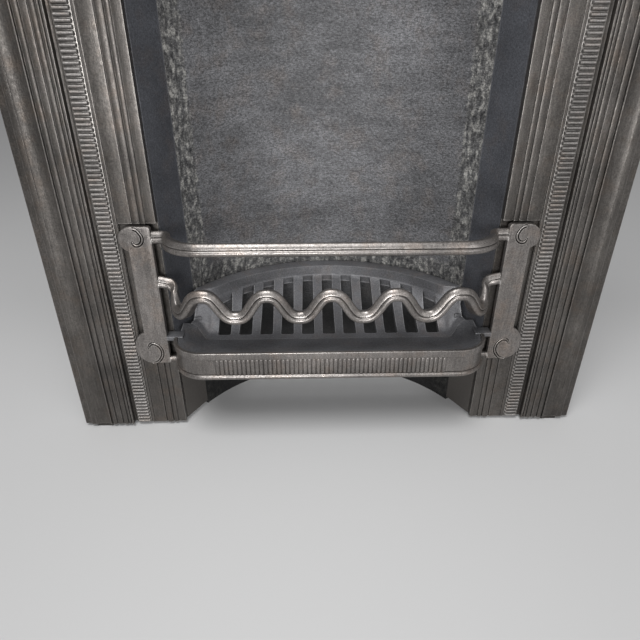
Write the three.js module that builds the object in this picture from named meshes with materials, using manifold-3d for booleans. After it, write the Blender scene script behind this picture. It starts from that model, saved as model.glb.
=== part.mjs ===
// A cast iron bedroom fireplace: moulded jambs and head under a shelf on two corbels, splayed cheeks
// and a curved fireback, and a hook-on fire front of bars round a loose slotted grate.
// Millimetres. X runs along the front, Y back into the chimney, Z up from the floor. While the pieces
// are made, Y is 0 at the face of the jambs; at the end the group moves so that the box is centred.
import * as THREE from "three";
import { mergeVertices } from "three/addons/utils/BufferGeometryUtils.js";
import Module from "manifold-3d";

const wasm = await Module();
wasm.setup();

// ---------------------------------------------------------------- driving dimensions
const overallWidth = 762; // across the two jambs
const faceWidth = 156; // one jamb or the head, over its mouldings
const footHeight = 6;
const frameTop = 951; // top of the head above the floor
const wallPlane = 22; // how far the wall is behind the face of the jambs
const webBack = 5; // back of the thin web that carries the mouldings
const legThickness = 7; // outer leg that runs back to the wall
const returnDepth = 10; // inner edge of a jamb, front to back
const returnThickness = 8;
const mitreGap = 0.3;
const runningGap = 0.3; // between a piece and its seat
const bossDepth = 5; // pads behind the web, from its back to the plane of the return

const ribPitch = 5.87;
const ribCrest = 3.2;
const ribValley = 0.8;
const ribRoot = -2; // how deep the ribbed strip is let into the web

const pocket = { mouth: 15, mouthFloor: 8, past: 11, bottom: 128, top: 329, wall: 6, floor: 3, plate: 6 };

const cheekFront = 1; // how far the cheek stands inside the jamb
const cheekSplay = 24; // how far it runs in over its depth
const cheekDepth = 42;
const cheekThickness = 6;

const backRadius = 239; // inside of the curved fireback
const backThickness = 8;
const lugThickness = 6;
const wallLug = { reach: 20, thickness: 4, belowTop: 60, half: 14, hole: 4.2 };
const foot = { fromEdge: 29, half: 12, front: 2, back: 18 };
const lugHalf = 15;
const lugReach = 36; // from the opening's edge outwards

const throatClearance = 6; // throat plate above the top of the opening
const throatThickness = 8;
const flue = { halfLength: 110, front: 50, back: 120, wall: 6, height: 10 };
const flap = { halfLength: 120, front: 40, back: 130, thickness: 5 };
const hinge = {
  pinRadius: 3.5,
  holeRadius: 3.6,
  sides: 24,
  barrel: 6.5,
  behind: 8,
  ear: 12,
  earAt: 95,
  knuckle: 24,
};
const knob = { stud: 3, rod: 5, ball: 8, drop: 30, behindFlueFront: 25 };

const shelfWidth = 914;
const shelfFront = 104; // in front of the face of the jambs
const shelfNose = 12; // the moulded edge of the shelf
const shelfThickness = 14;
const corbel = { width: 56, height: 110, depth: 92, roll: 12, back: 7.1, boltUp: 13, boltDepth: 12 };

const frontReach = 60.5; // fire front, outer face in front of the jambs
const frontHalf = 219.5; // half its width
const frontCorner = 46; // its rounded corners
const stubRadius = 6.5;

// The uprights stand outside the opening. The insets are from an upright's outer edge.
const upright = { outside: 5.5, width: 31.5, front: 12, back: 4, bottom: 123, height: 204.7, corner: 4 };
const topLobe = { inset: 5, rx: 16, rz: 16.7 };
const bottomLobe = { inset: 6.5, rx: 22, rz: 26 };
const topBoss = { inset: 11.5, down: 15.2, rx: 8.4, rz: 9.5, start: 80, sweep: 255 };
const bottomBoss = { inset: 9, up: 17.6, rx: 12.4, rz: 15, start: -75, sweep: -250 };
const scrollGroove = { width: 2.8, depth: 1.6, flare: 3.5, curl: 0.3 };
const hook = { inset: 11, width: 10, height: 8, drop: 9, tongue: 3.6, lift: 10, side: 0.5, up: [42, 162] };
const tenon = { radius: 2.5, length: 7, gap: 0.4 };

const barHalf = 216; // from the middle to the outside of the top and wavy bars' corners
const barCorner = 54; // how far before that a bar starts to turn back
const barHeight = 16.4;
const barDepth = 17;
const barEndDepth = 8; // where a bar turns out to the upright
const barSlant = 6.5; // how far behind its front a bar is highest
const barDraft = 17; // degrees that its top falls from there towards the back
const topBarMiddle = 312.4;
const waveMiddle = 234;
const waveHeight = 17.1;
const waveRound = 1.3; // how far the crests stay below a plain wave's, which makes the flanks steeper
const waveLength = 83.2;
const waveCount = 3; // waves from the middle to one upright, of which the last half is a little shorter
const apron = {
  bottom: 133,
  bandBottom: 157,
  top: 167.4,
  thickness: 5,
  recess: 1.5,
  ribHalf: 157,
  ribPitch: 5.95,
};
const railRadius = 4.3;
const railProud = 1.5;

const pan = {
  rear: 3.4,
  rearHalf: 178,
  wingX: 200,
  wingRear: 24,
  rearZ: 152.2,
  wingZ: 169,
  dish: 3.5,
  thickness: 6,
};
const ear = { back: 3, thickness: 6, top: 167.6, lap: 6 };

const grate = {
  clearance: 0.6,
  frontHalf: 204,
  rearHalf: 195,
  frontZ: 152,
  wingZ: 168,
  stripDepth: 12.5,
  innerZ: 196,
  wingInnerZ: 184,
  ledgeZ: 211,
  ledgeRadius: 215,
  wallClearance: 1.5,
  thickness: 9,
  ledgeThickness: 8,
};
const slots = { count: 11, pitch: 31, front: 19, back: 16.5, inset: 1.2 };
const grateFoot = { x: 190, width: 10, front: 34, back: 46, z: 156 };
const seat = { depth: 8, back: 15, halfAngle: 3, at: 21 };

const bolt = { shank: 3, hole: 3.5, head: 6.5, headHeight: 4.5, bite: 4 };
const blindDepth = 3; // how far behind the face of the jambs the bolt holes in the frame stop
const cleat = { thickness: 5, jambX: 31, jambZ: 80, headX: 81, headZ: 40, trim: 1 };
const cheekBolt = { outside: 25, bottom: 54, middle: 420, belowTop: 44 };
const backBolt = { outside: 22, bottom: 236, belowTop: 50 };
const throatFixing = { x: 150, aboveOpening: 31 };
const shelfFixing = { x: 150, y: 13, cover: 4 };

// Members of the moulding, from its outer edge inwards. Relief is how far each stands in front of the
// face of the jamb, and crown how far its middle stands in front of its edges.
const outerMembers = [
  { width: 10, relief: 2.5 },
  { width: 8, relief: 5 },
  { width: 21, relief: 4.6, crown: -2.4 },
  { width: 2.6, relief: 5.2, crown: 1.4 },
  { width: 1.6, relief: 3.6 },
  { width: 6.4, relief: 5, crown: 1.4 },
  { width: 1.6, relief: 3.8 },
  { width: 7.6, relief: 5, crown: 0.5 },
  { width: 1.4, relief: 3.6 },
  { width: 6.8, relief: 4.8, crown: 1.5 },
  { width: 1.2, relief: 3.8 },
  { width: 3.4, relief: 4.8, crown: 1 },
  { width: 1.6, relief: 3.6 },
  { width: 2.6, relief: 6.8 },
  { width: 4.8, relief: -1.5 },
];
const ribStrip = { width: 21.8, relief: 0.6 };
const innerMembers = [
  { width: 1.4, relief: -1 },
  { width: 3.2, relief: 1.6 },
  { width: 0.8, relief: 0.2 },
  { width: 18, relief: 1 },
  { width: 1.6, relief: -0.8 },
  { width: 9, relief: 1, crown: 1.2 },
  { width: 1.4, relief: -0.6 },
  { width: 5.8, relief: 0.8, crown: 1.1 },
  { width: 1.4, relief: -0.5 },
];
const lastRelief = 0.3;
const crownSteps = 2;

// ---------------------------------------------------------------- sizes that follow
const halfWidth = overallWidth / 2;
const openingHalf = halfWidth - faceWidth;
const jambBottom = footHeight;
const openingTop = frameTop - faceWidth;
const throatBottom = openingTop + throatClearance;
const cheekBack = returnDepth + cheekDepth;
const cheekFrontX = openingHalf - cheekFront;
const cheekBackX = cheekFrontX - cheekSplay;
const backCentreY = cheekBack - Math.sqrt(backRadius ** 2 - cheekBackX ** 2);
const backOuter = backRadius + backThickness;
const backMost = backCentreY + backOuter;
const grateRadius = backRadius - grate.wallClearance;
const widthOf = (members) => members.reduce((sum, m) => sum + m.width, 0);
const ribStart = widthOf(outerMembers);
const ribEnd = ribStart + ribStrip.width;
const hingeY = flap.back + hinge.behind;
const uprightInner = openingHalf + upright.outside;
const uprightOuter = uprightInner + upright.width;
const uprightTop = upright.bottom + upright.height;
const pocketOuter = uprightOuter + pocket.past;
const hookX = uprightOuter - hook.inset;
const hookZ = hook.up.map((up) => upright.bottom + up);
const flapBottom = throatBottom + throatThickness + flue.height + runningGap;
const hingeZ = flapBottom + flap.thickness / 2;

// ---------------------------------------------------------------- solids
const degrees = THREE.MathUtils.degToRad;

function solid(geometry) {
  const g = geometry.clone();
  g.deleteAttribute("normal");
  g.deleteAttribute("uv");
  const merged = mergeVertices(g, 1e-4);
  const vertProperties = new Float32Array(merged.attributes.position.array);
  const triVerts = new Uint32Array(merged.index.array);
  const made = new wasm.Manifold(new wasm.Mesh({ numProp: 3, vertProperties, triVerts }));
  if (made.volume() > 0) return made;
  for (let i = 0; i < triVerts.length; i += 3) {
    [triVerts[i + 1], triVerts[i + 2]] = [triVerts[i + 2], triVerts[i + 1]];
  }
  return new wasm.Manifold(new wasm.Mesh({ numProp: 3, vertProperties, triVerts }));
}

function fuse(first, ...rest) {
  return rest.flat().reduce((made, s) => made.add(s), first);
}

function cut(first, ...tools) {
  return tools.flat().reduce((made, s) => made.subtract(s), first);
}

function box(x0, x1, y0, y1, z0, z1) {
  const g = new THREE.BoxGeometry(x1 - x0, y1 - y0, z1 - z0);
  return solid(g.translate((x0 + x1) / 2, (y0 + y1) / 2, (z0 + z1) / 2));
}

// An outline drawn in the plane across an axis, and extruded along it: X, Y and Z as seen in the
// order (y, z), (x, z) and (x, y).
const extrusionFrames = {
  x: [new THREE.Vector3(0, 1, 0), new THREE.Vector3(0, 0, 1), new THREE.Vector3(1, 0, 0)],
  y: [new THREE.Vector3(1, 0, 0), new THREE.Vector3(0, 0, 1), new THREE.Vector3(0, -1, 0)],
  z: [new THREE.Vector3(1, 0, 0), new THREE.Vector3(0, 1, 0), new THREE.Vector3(0, 0, 1)],
};

function prism(axis, shape, from, to, curveSegments = 5) {
  const outline = Array.isArray(shape) ? new THREE.Shape(shape) : shape;
  const options = { depth: to - from, bevelEnabled: false, steps: 1, curveSegments };
  const g = new THREE.ExtrudeGeometry(outline, options);
  g.applyMatrix4(new THREE.Matrix4().makeBasis(...extrusionFrames[axis]));
  if (axis === "x") g.translate(from, 0, 0);
  if (axis === "y") g.translate(0, to, 0);
  if (axis === "z") g.translate(0, 0, from);
  return solid(g);
}

function circle(a, b, radius, sides) {
  const turn = (2 * Math.PI) / sides;
  const corner = (i) => V2(a + radius * Math.cos((i + 0.5) * turn), b + radius * Math.sin((i + 0.5) * turn));
  return Array.from({ length: sides }, (_, i) => corner(i));
}

function rod(axis, a, b, radius, from, to, sides = 8) {
  return prism(axis, circle(a, b, radius, sides), from, to);
}

// A skin over rings of equally many points, closed at both ends by the two flat outlines given. The
// diagonals of its second half mirror those of the first.
function skin(rings, firstOutline, lastOutline) {
  const count = rings[0].length;
  const index = [];
  for (let r = 0; r + 1 < rings.length; r++) {
    for (let i = 0; i < count; i++) {
      const j = (i + 1) % count;
      const [a, b, c, d] = [r * count + i, r * count + j, (r + 1) * count + j, (r + 1) * count + i];
      const firstHalf = 2 * r + 1 < rings.length;
      index.push(...(firstHalf ? [a, b, c, a, c, d] : [a, b, d, b, c, d]));
    }
  }
  const turned = THREE.ShapeUtils.isClockWise(firstOutline);
  const last = (rings.length - 1) * count;
  for (const [a, b, c] of THREE.ShapeUtils.triangulateShape(firstOutline, [])) {
    index.push(...(turned ? [a, b, c] : [a, c, b]));
  }
  for (const [a, b, c] of THREE.ShapeUtils.triangulateShape(lastOutline, [])) {
    index.push(...(turned ? [last + a, last + c, last + b] : [last + a, last + b, last + c]));
  }
  const g = new THREE.BufferGeometry();
  g.setAttribute("position", new THREE.Float32BufferAttribute(rings.flat().flatMap((p) => p.toArray()), 3));
  g.setIndex(index);
  return solid(g);
}

const V2 = (x, y) => new THREE.Vector2(x, y);
const V3 = (x, y, z) => new THREE.Vector3(x, y, z);
const smooth = (t) => THREE.MathUtils.smoothstep(t, 0, 1);
const clamp = THREE.MathUtils.clamp;

// ---------------------------------------------------------------- moulded frame
// The section of a jamb or of the head, as points of distance from the outer edge and relief.
function mouldedFace() {
  const innerWidth = widthOf(innerMembers);
  const lastWidth = faceWidth - ribEnd - innerWidth;
  const members = [...outerMembers, ribStrip, ...innerMembers, { width: lastWidth, relief: lastRelief }];
  const points = [];
  let at = 0;
  for (const { width, relief, crown = 0 } of members) {
    const steps = crown ? crownSteps : 1;
    for (let i = 0; i <= steps; i++) {
      const t = i / steps;
      points.push(V2(at + t * width, relief + crown * 4 * t * (1 - t)));
    }
    at += width;
  }
  return points;
}

// The whole section, front and back, placed by a function of distance across and depth.
function frameSection(place) {
  const across = [
    [faceWidth, returnDepth],
    [faceWidth - returnThickness, returnDepth],
    [faceWidth - returnThickness, webBack],
    [legThickness, webBack],
    [legThickness, wallPlane],
    [0, wallPlane],
  ];
  const face = mouldedFace().map((p) => place(p.x, -p.y));
  return [...face, ...across.map(([a, depth]) => place(a, depth))];
}

// Teeth along a strip: a crest and a valley for each pitch, over a root inside the web.
function ribOutline(from, to, place) {
  const count = Math.floor((to - from) / ribPitch);
  const points = [];
  for (let i = 0; i <= count; i++) {
    points.push(place(from + i * ribPitch, -ribValley));
    if (i < count) points.push(place(from + (i + 0.5) * ribPitch, -ribCrest));
  }
  points.push(place(from + count * ribPitch, -ribRoot));
  points.push(place(from, -ribRoot));
  return points;
}

const mitreShift = mitreGap / Math.SQRT2;
const beyond = 5; // how far the cutting fields reach past the castings

function jambField() {
  const low = jambBottom - beyond;
  return [
    V2(openingHalf - beyond, low),
    V2(halfWidth + beyond, low),
    V2(halfWidth + beyond, frameTop + beyond - mitreShift),
    V2(openingHalf - beyond, openingTop - beyond - mitreShift),
  ];
}

function headField() {
  const top = frameTop + beyond + mitreShift;
  const bottom = openingTop - beyond + mitreShift;
  return [
    V2(-halfWidth - beyond, top),
    V2(beyond - openingHalf, bottom),
    V2(openingHalf - beyond, bottom),
    V2(halfWidth + beyond, top),
  ];
}

function boss(x, z) {
  return box(x - lugHalf, x + lugHalf, webBack - 1, webBack + bossDepth, z - lugHalf, z + lugHalf);
}

function boltHole(x, z, from, to) {
  return rod("y", x, z, bolt.hole, from, to);
}

const cheekBoltX = openingHalf + cheekBolt.outside;
const cheekBoltZ = [jambBottom + cheekBolt.bottom, cheekBolt.middle, openingTop - cheekBolt.belowTop];
const cleatJamb = { x: halfWidth - cleat.jambX, z: frameTop - cleat.jambZ };
const cleatHead = { x: halfWidth - cleat.headX, z: frameTop - cleat.headZ };
const corbelX = halfWidth - faceWidth / 2;
const corbelBoltZ = frameTop - corbel.height + corbel.boltUp;
const throatBoltZ = openingTop + throatFixing.aboveOpening;
function hookPlate() {
  const x0 = openingHalf + pocket.mouth;
  const x1 = pocketOuter + pocket.wall;
  const inner = openingHalf + returnThickness - 1;
  const [low, high] = [pocket.bottom - pocket.wall, pocket.top + pocket.wall];
  return fuse(
    box(x0, x1, webBack - 3, pocket.floor + pocket.plate, low, high),
    box(inner, x0 + 1, pocket.mouthFloor, pocket.mouthFloor + pocket.plate, low, high),
  );
}

function hookSlots() {
  return hookZ.map((z) => {
    const half = hook.width / 2 + hook.side;
    const top = z + hook.height + hook.lift + runningGap;
    const [front, back] = [pocket.floor - 1, pocket.floor + pocket.plate + 1];
    return box(hookX - half, hookX + half, front, back, z - runningGap, top);
  });
}

function jamb() {
  const section = frameSection((across, depth) => V2(halfWidth - across, depth));
  const ribs = ribOutline(jambBottom, frameTop, (along, depth) => V2(depth, along));
  const cast = fuse(
    prism("z", section, jambBottom, frameTop),
    prism("x", ribs, halfWidth - ribEnd, halfWidth - ribStart),
  ).intersect(prism("y", jambField(), -50, 50));
  const footX = halfWidth - foot.fromEdge;
  const lugX = halfWidth + wallLug.reach;
  const lugZ = frameTop - wallLug.belowTop;
  const whole = fuse(
    cast,
    hookPlate(),
    cheekBoltZ.map((z) => boss(cheekBoltX, z)),
    boss(cleatJamb.x, cleatJamb.z),
    box(footX - foot.half, footX + foot.half, -foot.front, foot.back, 0, footHeight + 1),
    box(
      halfWidth - 1,
      lugX,
      wallPlane - wallLug.thickness,
      wallPlane,
      lugZ - wallLug.half,
      lugZ + wallLug.half,
    ),
  );
  return cut(
    whole,
    box(openingHalf - 1, pocketOuter, -wallPlane, pocket.floor, pocket.bottom, pocket.top),
    box(openingHalf - 1, openingHalf + pocket.mouth, -wallPlane, pocket.mouthFloor, pocket.bottom, pocket.top),
    hookSlots(),
    cheekBoltZ.map((z) => boltHole(cheekBoltX, z, blindDepth, wallPlane)),
    boltHole(cleatJamb.x, cleatJamb.z, blindDepth, wallPlane),
    boltHole(corbelX, corbelBoltZ, -wallPlane, wallPlane),
    rod("y", halfWidth + wallLug.reach / 2, lugZ, wallLug.hole, 0, wallPlane + 1, 12),
  );
}

function head() {
  const section = frameSection((across, depth) => V2(depth, frameTop - across));
  const count = Math.floor(halfWidth / ribPitch);
  const ribs = ribOutline(-count * ribPitch, count * ribPitch, (along, depth) => V2(along, depth));
  const cast = fuse(
    prism("x", section, -halfWidth, halfWidth),
    prism("z", ribs, frameTop - ribEnd, frameTop - ribStart),
  ).intersect(prism("y", headField(), -50, 50));
  const sides = [-1, 1];
  const bosses = sides.flatMap((s) => [
    boss(s * cleatHead.x, cleatHead.z),
    boss(s * throatFixing.x, throatBoltZ),
  ]);
  const holes = sides.flatMap((s) => [
    boltHole(s * cleatHead.x, cleatHead.z, blindDepth, wallPlane),
    boltHole(s * throatFixing.x, throatBoltZ, blindDepth, wallPlane),
    rod("z", s * shelfFixing.x, shelfFixing.y, bolt.hole, frameTop - 2 * legThickness, frameTop + 1),
  ]);
  return cut(fuse(cast, bosses), holes);
}

// The shelf grows outwards at its front and ends from level to level, and is flat against the wall.
function shelf() {
  const levels = [[0, 0], [2, 0.35], [4, 0.8], [6, 1], [10, 1], [13, 0.85], [shelfThickness, 0.65]];
  const rings = levels.map(([z, share]) => {
    const x = shelfWidth / 2 - shelfNose * (1 - share);
    const front = -shelfFront + shelfNose * (1 - share);
    const height = frameTop + z;
    return [V3(-x, front, height), V3(x, front, height), V3(x, wallPlane, height), V3(-x, wallPlane, height)];
  });
  const flat = (ring) => ring.map((p) => V2(p.x, p.y));
  const blank = skin(rings, flat(rings[0]), flat(rings.at(-1)));
  const end = frameTop + shelfThickness - shelfFixing.cover;
  const hole = (s) => rod("z", s * shelfFixing.x, shelfFixing.y, bolt.hole, frameTop - 1, end);
  return cut(blank, [-1, 1].map(hole));
}

// A scroll bracket: a deep top under the shelf, an S-shaped front and a small roll at the bottom.
function corbelSolid() {
  const top = frameTop;
  const bottom = frameTop - corbel.height;
  const { depth, back, roll } = corbel;
  const outline = new THREE.Shape();
  outline.moveTo(-back, top);
  outline.lineTo(-depth, top);
  outline.lineTo(-depth, top - 10);
  outline.bezierCurveTo(-depth + 4, top - 46, -back - 22, top - 34, -back - 20, top - 66);
  outline.bezierCurveTo(-back - 34, bottom + 30, -back - 30, bottom, -back - roll, bottom);
  outline.lineTo(-back, bottom);
  const hole = boltHole(corbelX, corbelBoltZ, -corbel.back - corbel.boltDepth, 0);
  const half = corbel.width / 2;
  return cut(prism("x", outline, corbelX - half, corbelX + half, 8), hole);
}

// ---------------------------------------------------------------- chamber
function cheek() {
  const slope = cheekSplay / cheekDepth;
  const thick = cheekThickness * Math.hypot(1, slope);
  const plate = prism("z", [
    V2(cheekFrontX, returnDepth),
    V2(cheekFrontX + thick, returnDepth),
    V2(cheekBackX + thick, cheekBack),
    V2(cheekBackX, cheekBack),
  ], jambBottom, throatBottom);
  const lugX = openingHalf + 1;
  const lugBack = returnDepth + lugThickness;
  const frontLug = (z) => box(lugX, lugX + lugReach, returnDepth, lugBack, z - lugHalf, z + lugHalf);
  const seatTop = grateFoot.z - runningGap;
  const seatBack = cheekFrontX - slope * (grateFoot.back - returnDepth) + thick;
  const grateSeat = box(grateFoot.x, seatBack, grateFoot.front, grateFoot.back, seatTop - seat.depth, seatTop);
  const whole = fuse(plate, cheekBoltZ.map(frontLug), backBoltZ.map(cheekBackLug), grateSeat);
  return cut(
    whole,
    cheekBoltZ.map((z) => boltHole(cheekBoltX, z, 0, wallPlane)),
    backBoltZ.map((z) => boltHole(backBoltX, z, cheekBack - lugThickness - 1, cheekBack + 1)),
  );
}

const backBoltX = cheekBackX + backBolt.outside;
const backBoltZ = [backBolt.bottom, throatBottom - backBolt.belowTop];

function cheekBackLug(z) {
  return box(cheekBackX + 4, backBoltX + 10, cheekBack - lugThickness, cheekBack, z - lugHalf, z + lugHalf);
}

// Part of a ring about the fireback's centre, given by degrees from +X.
function ringPart(inner, outer, from, to, z0, z1, segments = 12) {
  const shape = new THREE.Shape();
  shape.absarc(0, backCentreY, outer, degrees(from), degrees(to), false);
  shape.absarc(0, backCentreY, inner, degrees(to), degrees(from), true);
  return prism("z", shape, z0, z1, segments);
}

function fireback() {
  const start = THREE.MathUtils.radToDeg(Math.asin((cheekBack + runningGap - backCentreY) / backRadius));
  const seatTop = grate.ledgeZ - grate.ledgeThickness - runningGap;
  const lug = (s, z) => {
    const [x0, x1] = [cheekBackX + 3, backBoltX + 10].map((x) => s * x).sort((a, b) => a - b);
    const front = cheekBack + runningGap;
    return box(x0, x1, front, front + lugThickness, z - lugHalf, z + lugHalf);
  };
  const sides = [-1, 1];
  return cut(
    fuse(
      ringPart(backRadius, backOuter, start, 180 - start, 0, throatBottom),
      sides.map((s) => {
        const at = 90 + s * seat.at;
        const [from, to] = [at - seat.halfAngle, at + seat.halfAngle];
        return ringPart(backRadius - seat.back, backRadius + 1, from, to, seatTop - seat.depth, seatTop, 1);
      }),
      sides.flatMap((s) => backBoltZ.map((z) => lug(s, z))),
    ),
    sides.flatMap((s) => backBoltZ.map((z) => boltHole(s * backBoltX, z, 0, backMost))),
  );
}

function throatPlate() {
  const slope = cheekSplay / cheekDepth;
  const thick = cheekThickness * Math.hypot(1, slope);
  const front = returnDepth + runningGap;
  const top = throatBottom + throatThickness;
  const start = Math.asin((cheekBack - backCentreY) / backOuter);
  const outline = new THREE.Shape();
  outline.moveTo(-cheekFrontX - thick, front);
  outline.lineTo(cheekFrontX + thick, front);
  outline.absarc(0, backCentreY, backOuter, start, Math.PI - start, false);
  const { halfLength, front: flueFront, back: flueBack, wall, height } = flue;
  const sides = [-1, 1];
  const flange = (s) => {
    const [x0, x1] = [s * throatFixing.x - lugHalf, s * throatFixing.x + lugHalf];
    return box(x0, x1, front, front + lugThickness, throatBottom, throatBoltZ + lugHalf);
  };
  const earAt = (s) => {
    const x = s * hinge.earAt;
    const [x0, x1] = [x - hinge.ear / 2, x + hinge.ear / 2];
    const eye = rod("x", hingeY, hingeZ, hinge.barrel, x0, x1, 12);
    return fuse(eye, box(x0, x1, hingeY - hinge.barrel, hingeY + hinge.barrel, throatBottom, hingeZ));
  };
  return cut(
    fuse(
      prism("z", outline, throatBottom, top, 12),
      box(-halfLength - wall, halfLength + wall, flueFront - wall, flueBack + wall, throatBottom, top + height),
      sides.map(flange),
      sides.map(earAt),
    ),
    box(-halfLength, halfLength, flueFront, flueBack, throatBottom - 1, top + height + 1),
    sides.map((s) => boltHole(s * throatFixing.x, throatBoltZ, 0, wallPlane)),
    rod("x", hingeY, hingeZ, hinge.holeRadius, -halfWidth, halfWidth, hinge.sides),
  );
}

const knobY = flue.front + knob.behindFlueFront;

function damperFlap() {
  const [low, high] = [flapBottom, flapBottom + flap.thickness];
  const gapX = hinge.earAt - hinge.ear / 2 - 1 - hinge.knuckle;
  const knuckle = (s) => {
    const [x0, x1] = [gapX, gapX + hinge.knuckle].map((x) => s * x).sort((a, b) => a - b);
    return fuse(
      rod("x", hingeY, hingeZ, hinge.barrel, x0, x1, 12),
      box(x0, x1, flap.back - 1, hingeY, low, high),
    );
  };
  return cut(
    fuse(box(-flap.halfLength, flap.halfLength, flap.front, flap.back, low, high), [-1, 1].map(knuckle)),
    rod("x", hingeY, hingeZ, hinge.holeRadius, -halfWidth, halfWidth, hinge.sides),
    rod("z", 0, knobY, knob.stud + 0.5, low - 1, high + 1, 12),
  );
}

function damperPin() {
  const end = hinge.earAt + hinge.ear / 2 + 6;
  return rod("x", hingeY, hingeZ, hinge.pinRadius, -end, end, hinge.sides);
}

// A turned pull that hangs through the flue opening from a stud riveted in the flap.
function damperKnob() {
  const top = flapBottom - runningGap;
  const ballZ = top - knob.drop;
  const profile = [V2(0, -knob.ball)];
  for (let a = -60; a <= 50; a += 22) {
    profile.push(V2(knob.ball * Math.cos(degrees(a)), knob.ball * Math.sin(degrees(a))));
  }
  profile.push(V2(knob.rod - 1.5, knob.ball - 1), V2(knob.rod - 1.5, knob.drop - 4), V2(knob.rod, knob.drop - 2));
  profile.push(V2(knob.rod, knob.drop), V2(knob.stud, knob.drop));
  const studTop = knob.drop + runningGap + flap.thickness;
  profile.push(V2(knob.stud, studTop), V2(0, studTop));
  const g = new THREE.LatheGeometry(profile, 12);
  return solid(g.rotateX(Math.PI / 2).translate(0, knobY, ballZ));
}

// ---------------------------------------------------------------- fire front
const rimPlan = { half: frontHalf, corner: frontCorner };
const bowedPlan = { half: barHalf, corner: barCorner };
const cornerArc = (rx, ry) => (Math.PI / 2) * Math.sqrt((rx * rx + ry * ry) / 2);

// The plan of a bar, from the middle to its end: a straight front, a rounded corner and, where it joins
// the upright, a small turn and a stub. Each station has its place, heading and distance along the bar.
function barPlan(inset, { stub = true, straightSteps = 1, cornerSteps = 8, outside = rimPlan } = {}) {
  const straight = outside.half - outside.corner;
  const [rx, ry] = [outside.corner - inset, frontCorner - inset];
  const front = -frontReach + inset;
  const stations = [];
  for (let i = 0; i < straightSteps; i++) {
    const x = (straight * i) / straightSteps;
    stations.push({ x, y: front, heading: 0, s: x });
  }
  for (let i = 0; i <= cornerSteps; i++) {
    const a = ((Math.PI / 2) * i) / cornerSteps;
    const heading = i < cornerSteps ? Math.atan((ry / rx) * Math.tan(a)) : a;
    stations.push({
      x: straight + rx * Math.sin(a),
      y: front + ry * (1 - Math.cos(a)),
      heading,
      s: straight + (a / (Math.PI / 2)) * cornerArc(rx, ry),
    });
  }
  const end = stations.at(-1);
  if (!stub) return stations;
  for (let i = 1; i <= 4; i++) {
    const a = ((Math.PI / 2) * i) / 4;
    const x = end.x + stubRadius * (1 - Math.cos(a));
    const y = end.y + stubRadius * Math.sin(a);
    stations.push({ x, y, heading: Math.PI / 2 - a, s: end.s + stubRadius * a });
  }
  const turn = stations.at(-1);
  const last = uprightInner - runningGap;
  stations.push({ x: last, y: turn.y, heading: 0, s: turn.s + last - turn.x });
  return stations;
}

// A section drawn as distance outwards and up, carried along a half plan and its mirror image.
function sweep(sectionAt, half, height = () => 0, slope = () => 0) {
  const left = half.slice(1).reverse().map((p) => ({ ...p, x: -p.x, heading: -p.heading, s: -p.s }));
  const rings = [...left, ...half].map(({ x, y, heading, s }) => {
    const tangent = V3(Math.cos(heading), Math.sin(heading), slope(s)).normalize();
    const out = V3(Math.sin(heading), -Math.cos(heading), 0);
    const up = V3().crossVectors(out, tangent);
    const middle = V3(x, y, height(s));
    return sectionAt(s).map((p) => middle.clone().addScaledVector(out, p.x).addScaledVector(up, p.y));
  });
  const end = sectionAt(half.at(-1).s);
  return skin(rings, end, end);
}

// A reed along the bottom of the front, a groove over it and a slanting face above. The underside is
// flat and the top falls to the back. A bar gets shallower over the last part of its corner, so that its
// end is as thick as the upright.
function reededSection(s) {
  const cornerLength = cornerArc(barCorner - barEndDepth / 2, frontCorner - barEndDepth / 2);
  const turned = (Math.abs(s) - (barHalf - barCorner)) / cornerLength;
  const depth = THREE.MathUtils.lerp(barDepth, barEndDepth, THREE.MathUtils.clamp(2.5 * turned - 1.5, 0, 1));
  const [n, h] = [barEndDepth / 2, barHeight / 2];
  const back = h - (depth - barSlant) * Math.tan(degrees(barDraft));
  const reed = [V2(n - 2.2, -h), V2(n, -0.72 * h), V2(n, -0.25 * h)];
  const groove = [V2(0.4 * n, 0.07 * h), V2(0.7 * n, 0.16 * h)];
  return [V2(n - depth, -h), ...reed, ...groove, V2(n - barSlant, h), V2(n - depth, back)];
}

const stubY = -frontReach + frontCorner + stubRadius;
const waveEnd = waveMiddle + waveHeight - waveRound;
const railZ = apron.bottom - runningGap - railRadius * Math.cos(degrees(22.5));

function tenons(z) {
  return [-1, 1].map((s) => {
    const [x0, x1] = [uprightInner - 2, uprightInner + tenon.length].map((x) => s * x).sort((a, b) => a - b);
    return rod("x", stubY, z, tenon.radius, x0, x1, 8);
  });
}

function topBar() {
  const bar = sweep(reededSection, barPlan(barEndDepth / 2, { outside: bowedPlan }), () => topBarMiddle);
  return fuse(bar, tenons(topBarMiddle));
}

function waveAt(length) {
  const last = (waveCount - 0.5) * waveLength;
  const rate = (s) => (Math.abs(s) > last ? Math.PI / (length - last) : (2 * Math.PI) / waveLength);
  const phase = (s) => {
    const past = Math.max(0, Math.abs(s) - last);
    return Math.sign(s) * ((2 * Math.PI * Math.min(Math.abs(s), last)) / waveLength + past * rate(s));
  };
  return {
    height: (s) => waveMiddle + waveHeight * Math.cos(phase(s)) - waveRound * Math.cos(3 * phase(s)),
    slope: (s) => rate(s) * (3 * waveRound * Math.sin(3 * phase(s)) - waveHeight * Math.sin(phase(s))),
  };
}

function waveBar() {
  const plan = barPlan(barEndDepth / 2, { straightSteps: 24, cornerSteps: 8, outside: bowedPlan });
  const wave = waveAt(plan.at(-1).s);
  const bar = sweep(reededSection, plan, wave.height, wave.slope);
  return fuse(bar, tenons(waveEnd));
}

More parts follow.
